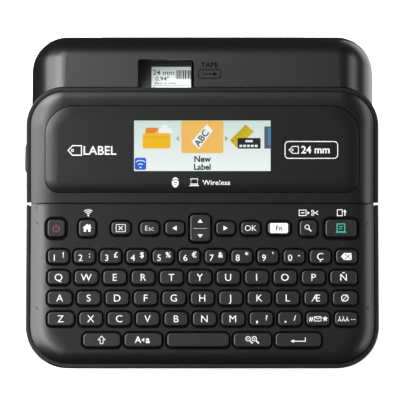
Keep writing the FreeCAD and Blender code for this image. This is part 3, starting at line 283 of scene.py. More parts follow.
DARK = (0.0036, 0.0036, 0.0038)
MATERIALS = {
    "case_plastic": plastic("case_grain", DARK, 0.31),
    "cover_plastic": plastic("cover_grain", DARK, 0.29),
    "hood_plastic": plastic("hood_grain", DARK, 0.3),
    "bezel_plastic": plastic("bezel_grain", shade(DARK, 0.95), 0.3, grain_depth=0.15),
    # Buttons and keys get paler edges: part wear, part painted highlight.
    "button_plastic": plastic("button_grain", DARK, 0.4, wear_and_edge_highlight=0.6),
    "key_plastic": plastic("key_grain", shade(DARK, 1.25), 0.34, grain=3200.0, grain_depth=0.3,
                           wear_and_edge_highlight=0.8),
    "tray_plastic": plastic("tray_grain", shade(DARK, 1.6), 0.55),
    "connector_plastic": plastic("connector_grain", shade(DARK, 0.8), 0.35),
    "clear_window": clear_pane("clear_acrylic"),
    "lcd_panel": plastic("lcd_grain", (0.03, 0.03, 0.032), 0.3),
    "rubber": rubber("foot_rubber", (0.018, 0.018, 0.018)),
    "mat_rubber": rubber("mat_rubber", (0.012, 0.012, 0.012)),
    "steel": metal("rolled_steel", (0.58, 0.58, 0.6), 0.34, (1, 12, 1)),
    "connector_shell": metal("tinned_shell", (0.72, 0.72, 0.74), 0.22, (1, 1, 6)),
    "contact_metal": metal("nickel_strip", (0.74, 0.72, 0.68), 0.25, (1, 6, 1)),
    "blade_steel": metal("ground_steel", (0.7, 0.7, 0.72), 0.18, (8, 1, 1)),
    "motor_can": metal("motor_can", (0.5, 0.5, 0.52), 0.3, (1, 1, 10)),
    "pinion_brass": metal("turned_brass", (0.78, 0.56, 0.26), 0.25, (1, 1, 8)),
    "heat_sink_aluminium": metal("extruded_aluminium", (0.78, 0.79, 0.8), 0.32, (1, 1, 12)),
    "head_ceramic": plastic("head_ceramic", (0.7, 0.69, 0.65), 0.25, vary=0.05),
    "circuit_board": plastic("solder_mask", (0.012, 0.12, 0.05), 0.3, vary=0.3),
    "chip": plastic("chip_epoxy", (0.02, 0.02, 0.02), 0.5),
    "gear_plastic": plastic("acetal", (0.78, 0.77, 0.73), 0.4, vary=0.04),
    "cassette_plastic": plastic("cassette_smoke", (0.06, 0.06, 0.064), 0.3, vary=0.1),
    "tape_film": plastic("tape_film", (0.85, 0.85, 0.85), 0.25, vary=0.03),
    "ribbon_film": plastic("ribbon_film", (0.01, 0.01, 0.012), 0.18),
    "battery_wrap": banded("cell_wrap", "X", (0.02, 0.02, 0.022), (0.55, 0.33, 0.12), 0.055),
}
WHITE_INK = ink("white_ink", (0.62, 0.62, 0.61))
DARK_INK = ink("dark_ink", (0.025, 0.025, 0.027))
# Near-black matt plastic: the moulded tape sign, and the painted shade in the gaps round the keys, the
# screen panel and the crease.
MATT_AND_PAINTED_SHADE = plastic("matt_marks_and_painted_shade", shade(DARK, 0.4), 0.8, specular=0.05)
PAPER = plastic("label_paper", (0.93, 0.93, 0.92), 0.5, vary=0.02)


def dress_nodes():
    """Gives every CAD node the finish of its slot, with round faces shaded smooth."""
    for part in frame["record"]["subparts"]:
        node = NODES[part["node"]]
        node.data.materials.clear()
        node.data.materials.append(MATERIALS[part["material_slot"]])
        node.data.shade_smooth()
        node.data.set_sharp_from_angle(angle=SHARP_ANGLE)


# ---------------------------------------------------------------- printed marks, and painted shade round the keys
def cap_ratio():
    """How tall a capital of the built-in font is at size 1."""
    curve = bpy.data.curves.new("measure", "FONT")
    curve.body = "H"
    holder = bpy.data.objects.new("measure", curve)
    mesh = bpy.data.meshes.new_from_object(holder)
    tall = max(v.co.y for v in mesh.vertices) - min(v.co.y for v in mesh.vertices)
    bpy.data.objects.remove(holder)
    bpy.data.meshes.remove(mesh)
    return tall


CAP = cap_ratio()


def circle(x, y, radius, start=0.0, end=360.0, steps=24):
    """Points along a circle or an arc, in degrees from +x."""
    count = steps if end - start == 360 else steps + 1
    turns = [math.radians(start + (end - start) * i / steps) for i in range(count)]
    return [(x + radius * math.cos(t), y + radius * math.sin(t)) for t in turns]


def ellipse(x, y, half_wide, half_tall, steps=32):
    turns = [math.tau * i / steps for i in range(steps)]
    return [(x + half_wide * math.cos(t), y + half_tall * math.sin(t)) for t in turns]


def rectangle(x0, y0, x1, y1):
    return [(x0, y0), (x1, y0), (x1, y1), (x0, y1)]


def rounded(x0, y0, x1, y1, radius, steps=5):
    """A rectangle with round corners, from its rear right corner on."""
    corners = ((x1 - radius, y1 - radius, 0), (x0 + radius, y1 - radius, 90),
               (x0 + radius, y0 + radius, 180), (x1 - radius, y0 + radius, 270))
    points = []
    for x, y, start in corners:
        points += circle(x, y, radius, start, start + 90, steps)
    return points


class Marks:
    """Thin flat shapes on one plane, gathered into one mesh that rides on one body."""

    def __init__(self, plane, level, thickness=INK):
        self.plane = plane
        self.level = level
        self.thickness = thickness
        self.points = []
        self.faces = []
        self.origin = (0.0, 0.0)
        self.turn = 0.0

    def at(self, x, y, turn=0.0):
        """Moves the drawing's own zero to x, y, turned by some degrees."""
        self.origin = (x, y)
        self.turn = math.radians(turn)
        return self

    def _place(self, x, y, lift):
        c, s = math.cos(self.turn), math.sin(self.turn)
        px = self.origin[0] + x * c - y * s
        py = self.origin[1] + x * s + y * c
        level = self.level(px, py) if callable(self.level) else self.level
        return self.plane @ Vector((px * MM, py * MM, (level + lift) * MM))

    def fill(self, outline):
        base = len(self.points)
        count = len(outline)
        for lift in (0.0, self.thickness):
            self.points += [self._place(x, y, lift) for x, y in outline]
        self.faces.append([base + i for i in reversed(range(count))])
        self.faces.append([base + count + i for i in range(count)])
        for i in range(count):
            j = (i + 1) % count
            self.faces.append([base + i, base + j, base + count + j, base + count + i])
        return self

    def stroke(self, path, width, closed=False):
        """A line of even width along a path, with mitred corners."""
        count = len(path)
        left, right = [], []
        for i, (x, y) in enumerate(path):
            sides = []
            if closed or i > 0:
                sides.append(Vector((x, y)) - Vector(path[i - 1]))
            if closed or i < count - 1:
                sides.append(Vector(path[(i + 1) % count]) - Vector((x, y)))
            normals = [Vector((-d.y, d.x)).normalized() for d in sides]
            across = sum(normals, Vector((0, 0))).normalized()
            reach = width / 2 / max(across.dot(normals[0]), 0.5)
            left.append((x + across.x * reach, y + across.y * reach))
            right.append((x - across.x * reach, y - across.y * reach))
        base = len(self.points)
        for row, lift in ((left, 0.0), (right, 0.0), (left, self.thickness), (right, self.thickness)):
            self.points += [self._place(x, y, lift) for x, y in row]
        low_left, low_right, top_left, top_right = (base + k * count for k in range(4))
        for i in range(count if closed else count - 1):
            j = (i + 1) % count
            self.faces.append([top_left + i, top_right + i, top_right + j, top_left + j])
            self.faces.append([low_left + j, low_right + j, low_right + i, low_left + i])
            self.faces.append([low_left + i, top_left + i, top_left + j, low_left + j])
            self.faces.append([top_right + i, low_right + i, low_right + j, top_right + j])
        if not closed:
            last = count - 1
            self.faces.append([low_left, low_right, top_right, top_left])
            self.faces.append([low_right + last, low_left + last, top_left + last, top_right + last])
        return self

    def fill_star(self, points, centre):
        """A star as its kite-shaped points round a centre."""
        count = len(points)
        for i in range(0, count, 2):
            self.fill([centre, points[i - 1], points[i], points[(i + 1) % count]])
        return self

    def ring(self, x, y, radius, width, start=0.0, end=360.0, steps=24):
        return self.stroke(circle(x, y, radius, start, end, steps), width, closed=end - start == 360)

    def text(self, words, x, y, height, weight=0.02, squeeze=1.0):
        """Words centred on x whose capitals are so tall, standing on a line at y."""
        curve = bpy.data.curves.new("words", "FONT")
        curve.body = words
        curve.size = height / CAP
        curve.align_x = "CENTER"
        curve.offset = weight * height
        curve.extrude = self.thickness / 2
        curve.resolution_u = 4
        holder = bpy.data.objects.new("words", curve)
        mesh = bpy.data.meshes.new_from_object(holder)
        base = len(self.points)
        for v in mesh.vertices:
            self.points.append(self._place(x + v.co.x * squeeze, y + v.co.y, v.co.z + self.thickness / 2))
        self.faces += [[base + i for i in face.vertices] for face in mesh.polygons]
        bpy.data.objects.remove(holder)
        bpy.data.meshes.remove(mesh)
        return self

    def done(self, name, material, body, slot="tape_film"):
        """Makes the piece from everything drawn so far."""
        mesh = bpy.data.meshes.new(name)
        mesh.from_pydata(self.points, [], self.faces)
        tidy = bmesh.new()
        tidy.from_mesh(mesh)
        bmesh.ops.remove_doubles(tidy, verts=tidy.verts, dist=1e-7)
        bmesh.ops.recalc_face_normals(tidy, faces=tidy.faces)
        tidy.to_mesh(mesh)
        tidy.free()
        piece = bpy.data.objects.new(name, mesh)
        bpy.context.scene.collection.objects.link(piece)
        mesh.materials.append(material)
        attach(piece, body)
        return piece


def surface(plane, node, lift=HAIR):
    """Height of a node's outside over its plane, in millimetres, as a function of x and y."""
    mesh = NODES[node].data
    corners = [v.co.copy() for v in mesh.vertices]
    tree = BVHTree.FromPolygons(corners, [tuple(p.vertices) for p in mesh.polygons])
    inverse = plane.inverted()
    down = plane.to_3x3() @ Vector((0, 0, -1))
    far_above = 0.2

    def height(x, y):
        hit = tree.ray_cast(plane @ Vector((x * MM, y * MM, far_above)), down)[0]
        if hit is None:
            hit = tree.find_nearest(plane @ Vector((x * MM, y * MM, 0.0)))[0]
        return (inverse @ hit).z / MM + lift
    return height


def on_plane(plane, points):
    """World points as millimetres on a plane."""
    inverse = plane.inverted()
    return [inverse @ p / MM for p in points]


def node_points(plane, node):
    """A node's corner points on a plane."""
    return on_plane(plane, [v.co for v in NODES[node].data.vertices])


def islands(node):
    """The separate solids of a node, as lists of their corner points."""
    solid = bmesh.new()
    solid.from_mesh(NODES[node].data)
    bmesh.ops.remove_doubles(solid, verts=solid.verts, dist=1e-6)
    left = set(solid.verts)
    groups = []
    while left:
        edge = [left.pop()]
        group = []
        while edge:
            vert = edge.pop()
            group.append(vert.co.copy())
            for link in vert.link_edges:
                other = link.other_vert(vert)
                if other in left:
                    left.remove(other)
                    edge.append(other)
        groups.append(group)
    solid.free()
    return groups


def key_tops(node):
    """(centre x, centre s, top n) of every cap in a node, left to right, on the key plane."""
    tops = []
    for group in islands(node):
        points = on_plane(KEY_PLANE, group)
        xs = [p.x for p in points]
        ss = [p.y for p in points]
        tops.append(((min(xs) + max(xs)) / 2, (min(ss) + max(ss)) / 2, max(p.z for p in points)))
    return sorted(tops)


# ------------------------------------- key legends; each draws round zero, in millimetres
def letter(words, height=LETTER, weight=-0.004):
    return lambda m: m.text(words, 0, -height / 2, height, weight=weight)


def digit(words, symbol):
    def draw(m):
        m.text(words, -2.2, -2.5, DIGIT, weight=-0.002)
        m.text(symbol, 2.9, -0.5, 3.0)
    return draw


def power(m):
    m.ring(0, -0.3, 1.8, 0.36, 125, 415)
    m.stroke([(0, -0.1), (0, 2.2)], 0.36)


def home(m):
    m.fill([(-2.6, 0.2), (2.6, 0.2), (0, 2.4)])
    m.fill(rectangle(-1.9, -2.1, -0.6, 0.3))
    m.fill(rectangle(0.6, -2.1, 1.9, 0.3))
    m.fill(rectangle(-0.7, -0.6, 0.7, 0.3))
    m.fill(rectangle(1.2, 0.9, 1.8, 2.2))


def boxed_cross(m):
    m.stroke(rectangle(-2.6, -2.1, 2.6, 2.1), 0.34, closed=True)
    m.stroke([(-1.2, -1.1), (1.2, 1.1)], 0.4)
    m.stroke([(-1.2, 1.1), (1.2, -1.1)], 0.4)


def arrow_left(m):
    m.fill([(1.1, -1.4), (1.1, 1.4), (-1.3, 0)])


def arrow_right(m):
    m.fill([(-1.1, -1.4), (1.3, 0), (-1.1, 1.4)])


def arrows_up_down(m):
    m.fill([(-1.5, 3.2), (1.5, 3.2), (0, 5.2)])
    m.fill([(-1.5, -3.6), (0, -5.6), (1.5, -3.6)])
    m.stroke([(-3.9, -0.2), (3.9, -0.2)], 0.12)


def magnifier(m, x=0.0, size=1.0, sign=""):
    m.ring(x - 0.7 * size, 0.8 * size, 1.5 * size, 0.5 * size)
    m.stroke([(x + 0.5 * size, -0.5 * size), (x + 2.3 * size, -2.4 * size)], 0.85 * size)
    if sign:
        m.stroke([(x - 1.4 * size, 0.8 * size), (x, 0.8 * size)], 0.35 * size)
    if sign == "+":
        m.stroke([(x - 0.7 * size, 0.1 * size), (x - 0.7 * size, 1.5 * size)], 0.35 * size)


def zoom_pair(m):
    magnifier(m, -1.8, 0.85, "-")
    magnifier(m, 1.7, 0.85, "+")


def printer(m):
    m.stroke(rectangle(-2.2, -2.0, 2.2, 2.5), 0.5, closed=True)
    m.stroke([(-2.9, -2.3), (2.9, -2.3)], 0.7)
    m.stroke([(-1.1, 0.9), (1.1, 0.9)], 0.45)
    m.stroke([(-1.1, -0.4), (0.6, -0.4)], 0.45)


def backspace(m):
    m.fill([(-3.2, 0), (-1.3, -2.0), (-1.3, 2.0)])
    m.stroke([(-1.3, 1.75), (2.9, 1.75)], 0.5)
    m.stroke([(-1.3, -1.75), (2.9, -1.75)], 0.5)
    m.fill([(-1.35, -1.55), (0.55, 0), (-1.35, 1.55)])
    m.fill([(2.95, -1.55), (2.95, 1.55), (1.05, 0)])
    m.fill([(-0.75, 1.6), (0.8, 0.35), (2.35, 1.6)])
    m.fill([(-0.75, -1.6), (2.35, -1.6), (0.8, -0.35)])


def comma_question(m):
    m.text(",", -2.4, -2.0, 4.2, weight=0.03)
    m.text("?", 3.0, -0.9, 2.9, weight=0.02)


def point_slash(m):
    m.fill(circle(-2.4, -1.8, 0.55, steps=14))
    m.text("/", 3.0, -1.0, 2.9, weight=0.02)


def symbols(m):
    m.text("#", -3.9, -1.3, 2.7, weight=0.02)
    m.stroke(rectangle(-2.0, -1.3, 1.7, 1.2), 0.35, closed=True)
    m.stroke([(-2.0, 1.2), (-0.15, -0.2), (1.7, 1.2)], 0.35)
    star = []
    for i in range(10):
        radius = 1.75 if i % 2 == 0 else 0.72
        turn = math.radians(90 + 36 * i)
        star.append((4.0 + radius * math.cos(turn), radius * math.sin(turn)))
    m.fill_star(star, (4.0, 0.0))


def accents(m):
    m.text("ÂÃÄ", -1.5, -1.6, 2.3, weight=0.0, squeeze=0.95)
    for i in range(3):
        m.fill(circle(3.1 + i * 0.95, -0.4, 0.26, steps=8))


def shift(m):
    m.stroke([(-0.8, -2.2), (0.8, -2.2), (0.8, 0.0), (2.0, 0.0), (0, 2.2), (-2.0, 0.0), (-0.8, 0.0)], 0.38,
             closed=True)


def caps(m):
    m.text("A", -2.9, -1.7, 3.7, weight=0.01)
    m.fill([(0.6, -1.1), (0.6, 1.1), (-0.9, 0)])
    m.text("a", 2.6, -1.7, 3.7, weight=0.03)


def enter(m):
    m.stroke([(4.0, 1.5), (4.0, -0.8), (-2.6, -0.8)], 0.42)
    m.fill([(-2.4, -1.8), (-2.4, 0.2), (-4.4, -0.8)])


def white_panel(m):
    m.fill(rounded(-5.1, -2.9, 5.1, 2.9, 0.9))


FUNCTION_LEGENDS = {
    "home_key": home, "clear_key": boxed_cross, "escape_key": letter("Esc", 2.8, -0.02),
    "left_key": arrow_left, "right_key": arrow_right, "up_down_key": arrows_up_down,
    "ok_key": letter("OK", 3.2, -0.01), "preview_key": lambda m: magnifier(m, 0.0, 0.8),
    "shift_key": shift, "caps_key": caps, "zoom_key": zoom_pair, "enter_key": enter,
}
SYMBOLS = "!:£$%€&*'-"
ROW_LEGENDS = {
    "number_keys": [digit(d, s) for d, s in zip("1234567890", SYMBOLS)] + [letter("Ç"), backspace],
    "upper_letter_keys": [letter(c) for c in "QWERTYUIOPÑ"],
    "middle_letter_keys": [letter(c) for c in "ASDFGHJKLÆØ"],
    "lower_letter_keys": [letter(c) for c in "ZXCVBNM"] + [comma_question, point_slash, symbols, accents],
}


def legend(node, drawings, material=WHITE_INK, label="legend"):
    """Prints one drawing on each cap of a node, just above its top."""
    tops = key_tops(node)
    marks = Marks(KEY_PLANE, tops[0][2] + HAIR)
    for (x, s, _), draw in zip(tops, drawings):
        marks.at(x, s)
        draw(marks)
    marks.done(f"{label}_{node}", material, node)


def key_surround(marks, heights, group, reach, near):
    """Painted shade round one key: a matt dark ring on the cover round its opening, and a dark strip down
    in the gap round the key.
    """
    standing = [p for p in on_plane(KEY_PLANE, group) if p.z > PLATE_TOP - TOP_BAND]
    x0, x1 = min(p.x for p in standing), max(p.x for p in standing)
    s0, s1 = min(p.y for p in standing), max(p.y for p in standing)

    def band(inner, outer):
        far = (inner + outer) / 2
        path = rounded(x0 - far, s0 - far, x1 + far, s1 + far, KEY_ROUND + far)
        marks.stroke(path, outer - inner, closed=True)

    def level(x, s):
        """The cover's height beside the opening, past the rounding of its edge."""
        x_in = min(max(x, x0 + KEY_ROUND), x1 - KEY_ROUND)
        s_in = min(max(s, s0 + KEY_ROUND), s1 - KEY_ROUND)
        out = Vector((x - x_in, s - s_in)).normalized() * EDGE_ROUND
        return max(heights(x, s), heights(x + out.x, s + out.y))

    # Painted shade ring on the cover round the opening.
    marks.level = level
    band(KEY_GAP + INK, KEY_GAP + INK + reach)
    # Painted shade strip down in the gap round the key.
    marks.level = PLATE_TOP - GAP_SHADE_DEPTH
    band(near, KEY_GAP - 4 * INK)


def key_surrounds():
    """Painted shade round every key, as matt dark rings; the power and print keys sit in wider ones."""
    heights = surface(KEY_PLANE, "keyboard_cover")
    marks = Marks(KEY_PLANE, heights)
    for part in frame["record"]["subparts"]:
        if part["node"].endswith(("_key", "_keys")):
            reach = WIDE_SHADE_RING if part["node"] in ("power_key", "print_key") else SHADE_RING
            near = ROCKER_CLEAR if part["node"] == "up_down_key" else GAP_SHADE_CLEAR
            for group in islands(part["node"]):
                key_surround(marks, heights, group, reach, near)
    marks.done("key_surrounds", MATT_AND_PAINTED_SHADE, "root", "mat_rubber")


def all_legends():
    """White signs, two coloured ones, and a white panel under the function key's letters."""
    for node, draw in FUNCTION_LEGENDS.items():
        legend(node, [draw])
    for node, drawings in ROW_LEGENDS.items():
        legend(node, drawings)
    legend("power_key", [power], ink("rose_ink", (0.2, 0.025, 0.06)))
    legend("print_key", [printer], ink("teal_ink", (0.008, 0.3, 0.21)))
    legend("function_key", [white_panel], WHITE_INK, "panel")
    x, s, top = key_tops("function_key")[0]
    words = Marks(KEY_PLANE, top + 3 * INK)
    words.at(x, s).text("Fn", 0, -1.4, 2.8, weight=0.03)
    words.done("legend_function_key", DARK_INK, "function_key", "key_plastic")


# ---------------------------------------------------------------- printed panels, and painted shade in the gaps beside them
def arcs(m, x, y, size, width, count=3):
    """A plain radio sign: a dot with arcs spreading up from it."""
    m.fill(circle(x, y, size * 0.13, steps=12))
    for i in range(1, count + 1):
        m.stroke(circle(x, y, size * i / count, 90 - 42, 90 + 42, 10), width)


def tag_sign(m, x, y, wide, tall, width):
    """A luggage-tag outline with its eyelet."""
    nose = tall * 0.45
    outline = [(x, y + tall / 2), (x + nose, y + tall), (x + wide, y + tall), (x + wide, y), (x + nose, y)]
    m.stroke(outline, width, closed=True)
    m.ring(x + nose, y + tall / 2, tall * 0.12, width * 0.7, steps=14)


def laptop(m, x, y, wide, tall, width):
    """An open laptop's screen over its flat base."""
    m.stroke(rectangle(x + wide * 0.16, y + tall * 0.3, x + wide * 0.84, y + tall), width, closed=True)
    m.fill([(x, y), (x + wide, y), (x + wide * 0.86, y + tall * 0.2), (x + wide * 0.14, y + tall * 0.2)])


def bezel_marks():
    """A tag sign left of the screen, the tape width right of it and the wireless signs below it."""
    marks = Marks(DISPLAY_PLANE, surface(DISPLAY_PLANE, "display_bezel"))
    tag_sign(marks, -76.5, 27.6, 7.6, 5.4, 0.6)
    marks.text("LABEL", -58.6, 27.9, 4.8, weight=0.014)
    marks.stroke(rounded(47.2, 25.8, 77.2, 35.4, 2.0), 0.5, closed=True)
    marks.text("24 mm", 64.6, 28.7, 4.0, weight=0.03)
    tag_sign(marks, 49.6, 28.6, 5.2, 4.0, 0.45)
    marks.text("Wireless", 8.0, 10.7, 2.6, squeeze=1.15)
    laptop(marks, -7.5, 10.0, 5.8, 4.1, 0.4)
    marks.done("bezel_marks", WHITE_INK, "root")
    x, s = BADGE
    top = surface(DISPLAY_PLANE, "display_bezel")(x, s + 3.1)
    badge = Marks(DISPLAY_PLANE, top)
    badge.fill(ellipse(x, s, 2.0, 2.9))
    badge.done("wireless_badge", WHITE_INK, "root")
    sign = Marks(DISPLAY_PLANE, top + 2 * INK)
    arcs(sign, x, s - 1.3, 2.8, 0.5, count=2)
    sign.done("wireless_sign", DARK_INK, "root", "key_plastic")


def bezel_seam():
    """A dark strip of painted shade that fills the gap round the screen panel."""
    points = node_points(DISPLAY_PLANE, "display_bezel")
    x1 = max(p.x for p in points) + SEAM
    s0 = min(p.y for p in points) - SEAM
    s1 = max(p.y for p in points) + SEAM
    path = circle(x1 - REAR_ROUND, s1 - REAR_ROUND, REAR_ROUND, 0, 90, 14)
    path += [(-x, s) for x, s in reversed(path)]
    front = circle(x1 - FRONT_ROUND, s0 + FRONT_ROUND, FRONT_ROUND, 270, 360, 10)
    path += [(-x, s) for x, s in reversed(front)] + front
    levels = surface(DISPLAY_PLANE, "display_cover", INK)
    seam = Marks(DISPLAY_PLANE, lambda x, s: levels(x * SEAM_OUT, s))
    # Painted shade along the groove round the bezel.
    seam.stroke(path, 2 * SEAM, closed=True)
    seam.done("bezel_gap_shade", MATT_AND_PAINTED_SHADE, "root", "rubber")


def crease_seam():
    """The painted shade of the gap where the keyboard cover meets the display housing, as a dark line."""
    points = node_points(KEY_PLANE, "keyboard_cover")
    rear = max(p.y for p in points if p.z > PLATE_TOP - TOP_BAND) - CREASE_BACK
    step = (max(p.x for p in points) - CREASE_INSET) / CREASE_STEPS
    heights = surface(KEY_PLANE, "keyboard_cover", 3 * HAIR)
    seam = Marks(KEY_PLANE, lambda x, s: heights(x, rear - CREASE))
    path = [(step * i, rear - CREASE / 2) for i in range(-CREASE_STEPS, CREASE_STEPS + 1)]
    # Painted shade along the gap at the crease.
    seam.stroke(path, CREASE)
    seam.done("crease_seam", MATT_AND_PAINTED_SHADE, "root", "cover_plastic")


def cover_marks():
    """Small signs behind the function row: wireless, preview and feed."""
    marks = Marks(KEY_PLANE, surface(KEY_PLANE, "keyboard_cover"))
    arcs(marks.at(-65.0, 89.0), 0, -1.4, 3.4, 0.45)
    marks.at(60.6, 89.2)
    marks.stroke(rectangle(-5.4, -1.6, -1.4, 1.6), 0.4, closed=True)
    marks.stroke([(-4.4, 0), (-2.4, 0)], 0.5)
    marks.fill([(-0.6, -1.1), (-0.6, 1.1), (0.7, 0)])
    for y in (-0.95, 0.95):
        marks.ring(2.3, y, 0.62, 0.36, steps=12)
        marks.stroke([(2.8, y * 0.7), (5.5, -y * 1.2)], 0.4)
    marks.at(79.4, 89.2)
    marks.stroke(rectangle(-2.4, -1.7, 0.4, 1.8), 0.4, closed=True)
    marks.stroke([(1.9, -1.7), (1.9, 0.8)], 0.5)
    marks.fill([(0.9, 0.5), (2.9, 0.5), (1.9, 1.9)])
    marks.done("cover_marks", WHITE_INK, "root")


# ---------------------------------------------------------------- the lit screen
def screen_layer(order):
    """Marks on the display's glass, each layer just above the one before."""
    return Marks(DISPLAY_PLANE, SCREEN_LEVEL + order * (INK + 0.005))


def light_up(name, layer, colour, other=None, span=(0.0, 1.0)):
    """Makes a layer's piece, lit in one colour or in a fade between two."""
    layer.done("screen_" + name, glowing("lit_" + name, colour, other, *span), "root", "lcd_panel")


def screen_shape(name, colour, outlines, order, other=None, span=(0.0, 1.0)):
    layer = screen_layer(order)
    for outline in outlines:
        layer.fill(outline)
    light_up(name, layer, colour, other, span)


def screen_strokes(name, colour, paths, order, width, closed=False):
    layer = screen_layer(order)
    for path in paths:
        layer.stroke(path, width, closed)
    light_up(name, layer, colour)


def screen_backdrop():
    """A pale sky that fades up the slope, inside a thin dark border."""
    x0, s0, x1, s1 = SCREEN
    low, high = ((DISPLAY_PLANE @ Vector((0, s * MM, 0))).y for s in (s0, s1))
    edge = BORDER + 0.01
    sky = rectangle(x0 + edge, s0 + edge, x1 - edge, s1 - edge)
    screen_shape("sky", (0.97, 0.98, 0.97), [sky], 0, (0.68, 0.8, 0.74), (low, high))
    edge = BORDER / 2
    frame_path = rectangle(x0 + edge, s0 + edge, x1 - edge, s1 - edge)
    screen_strokes("border", (0.01, 0.01, 0.012), [frame_path], 0, BORDER, closed=True)


def screen_folder():
    """A file folder with its tab and a sheet sticking out."""
    screen_shape("folder_tab", (0.85, 0.25, 0.01), [rounded(-32.4, 38.0, -25.0, 43.2, 1.0)], 1)
    sheet = [(-21.2, 45.4), (-16.6, 41.0), (-23.0, 35.0), (-28.0, 39.6)]
    screen_shape("folder_sheet", (0.95, 0.95, 0.95), [sheet], 1)
    screen_shape("folder", (1.0, 0.52, 0.004), [rounded(-34.0, 31.4, -18.1, 40.2, 1.0)], 2)
    screen_strokes("folder_lines", (0.6, 0.36, 0.03), [[(-33.2, 37.9), (-19.0, 37.9)]], 3, 0.4)


def screen_new_label():
    """The chosen tile with a slanting label on it, between two small arrows."""
    screen_shape("tile", (0.97, 0.53, 0.12), [rounded(-12.0, 28.7, 12.1, 47.2, 1.4)], 1)
    tag = [(2.6, 45.2), (6.0, 41.6), (-1.9, 30.9), (-6.2, 35.2)]
    screen_shape("tag", (0.95, 0.95, 0.95), [tag], 2)
    words = screen_layer(3)
    words.at(-0.4, 37.4, 54.0).text("ABC", 0, -1.8, 3.6, weight=0.03)
    light_up("tag_letters", words, (0.05, 0.05, 0.05))
    left = [(-13.2, 35.4), (-13.2, 38.6), (-15.0, 37.0)]
    right = [(13.0, 35.4), (14.8, 37.0), (13.0, 38.6)]
    screen_shape("arrows", (0.36, 0.42, 0.4), [left, right], 1)


def screen_tools():
    """A slanting ruler behind a small keypad."""
    ruler = [Vector(p) for p in ((24.8, 45.2), (29.4, 41.0), (19.6, 31.9), (15.7, 36.0))]
    screen_shape("ruler", (0.66, 0.47, 0.005), [ruler], 1)
    along = (ruler[3] - ruler[0]).normalized()
    starts = [ruler[0] + along * (1.3 + 2.1 * i) for i in range(6)]
    ticks = [[(x, s), (x + 1.5, s - 1.4)] for x, s in starts]
    screen_strokes("ruler_ticks", (0.25, 0.12, 0.02), ticks, 2, 0.35)
    screen_shape("keypad", (0.01, 0.01, 0.012), [rounded(20.1, 31.3, 33.3, 37.4, 0.7)], 3)
    keys = [rectangle(21.2 + 2.2 * i, 32.2, 22.8 + 2.2 * i, 33.5) for i in range(5)]
    screen_shape("keypad_keys", (0.9, 0.9, 0.9), keys + [rectangle(24.6, 35.0, 28.8, 36.2)], 4)


def screen_links():
    """The edge of a laptop on the right and the radio sign in the corner."""
    screen_shape("laptop", (0.1, 0.11, 0.12), [rectangle(35.4, 31.3, 38.9, 44.0)], 1)
    screen_shape("laptop_glass", (0.06, 0.22, 0.6), [rectangle(37.4, 33.4, 38.9, 43.0)], 2)
    screen_shape("link_tile", (0.003, 0.12, 0.72), [rounded(-38.6, 19.2, -32.0, 26.1, 1.2)], 1)
    link = screen_layer(2)
    arcs(link, -35.3, 20.6, 4.0, 0.55, count=2)
    light_up("link_sign", link, (0.95, 0.95, 0.95))


def screen_caption():
    """The chosen tile's name, in two lines under it."""
    caption = screen_layer(1)
    caption.text("New", 0, 23.8, 3.3, weight=0.045)
    caption.text("Label", 0, 19.3, 3.2, weight=0.045)
    light_up("caption", caption, (0.02, 0.022, 0.022))


def screen():
    """The home menu: a file folder, a new-label tile with its caption and a set of tools."""
    screen_backdrop()
    screen_folder()
    screen_new_label()
    screen_tools()
    screen_links()
    screen_caption()


# ---------------------------------------------------------------- labels and moulded signs
def cassette_marks():
    """The paper label on the cassette, read through the hood's window."""
    x0, x1, rear = -29.1, -6.6, 76.4
    lid = surface(TOP_PLANE, "cassette_lid")((x0 + x1) / 2, 72.0)
    label = Marks(TOP_PLANE, lid)
    label.fill(rectangle(x0, 59.4, x1, rear))
    label.done("cassette_label", PAPER, "root")
    words = Marks(TOP_PLANE, lid + 2 * INK)
    words.text("24 mm", x0 + 6.9, 71.2, 3.0, weight=0.01)
    words.text('0.94"', x0 + 6.1, 67.4, 2.6, weight=0.012)
    words.text("Black on white", x0 + 8.0, 65.2, 1.4)
    words.stroke(rectangle(x0 + 1.4, 60.0, x1 - 1.4, 64.2), 0.3, closed=True)
    bar = x0 + 14.0
    for i in range(9):
        wide = 0.35 + 0.35 * (i * i % 3)
        words.fill(rectangle(bar, 68.6, bar + wide, 74.2))
        bar += wide + 0.45
    words.done("cassette_print", DARK_INK, "root", "ribbon_film")


def hood_marks():
    """Raised tape sign moulded in the hood beside its window."""
    raised = Marks(TOP_PLANE, surface(TOP_PLANE, "compartment_cover", -INK), 8 * INK)
    raised.text("TAPE", 4.2, 69.2, 3.0, weight=0.02)
    raised.stroke(rounded(-2.2, 62.2, 10.6, 67.6, 1.2), 0.45, closed=True)
    raised.stroke([(0.0, 64.9), (7.0, 64.9)], 0.45)
    raised.fill([(6.4, 63.7), (8.6, 64.9), (6.4, 66.1)])
    raised.done("hood_marks", MATT_AND_PAINTED_SHADE, "compartment_cover", "hood_plastic")


def rating_label():
    """A plain silver rating label under the case."""
    plate = Marks(UNDER_PLANE, surface(UNDER_PLANE, "base_case"))
    plate.fill(rounded(-26.0, -18.0, 26.0, 10.0, 1.5))
    plate.done("rating_label", metal("label_foil", (0.6, 0.6, 0.61), 0.45), "root", "contact_metal")
    words = Marks(UNDER_PLANE, surface(UNDER_PLANE, "base_case", INK + 2 * HAIR))
    words.text("LABEL MAKER", 0, 4.0, 3.4, weight=0.02)
    words.text("Input  12 V DC  2 A", 0, -1.6, 2.2)
    words.text("Batteries  6 x AA", 0, -5.6, 2.2)
    words.text("Made for indoor use", 0, -9.6, 1.9)
    words.stroke(rounded(-24.6, -16.6, 24.6, 8.6, 1.0), 0.25, closed=True)
    words.done("rating_print", DARK_INK, "root", "ribbon_film")


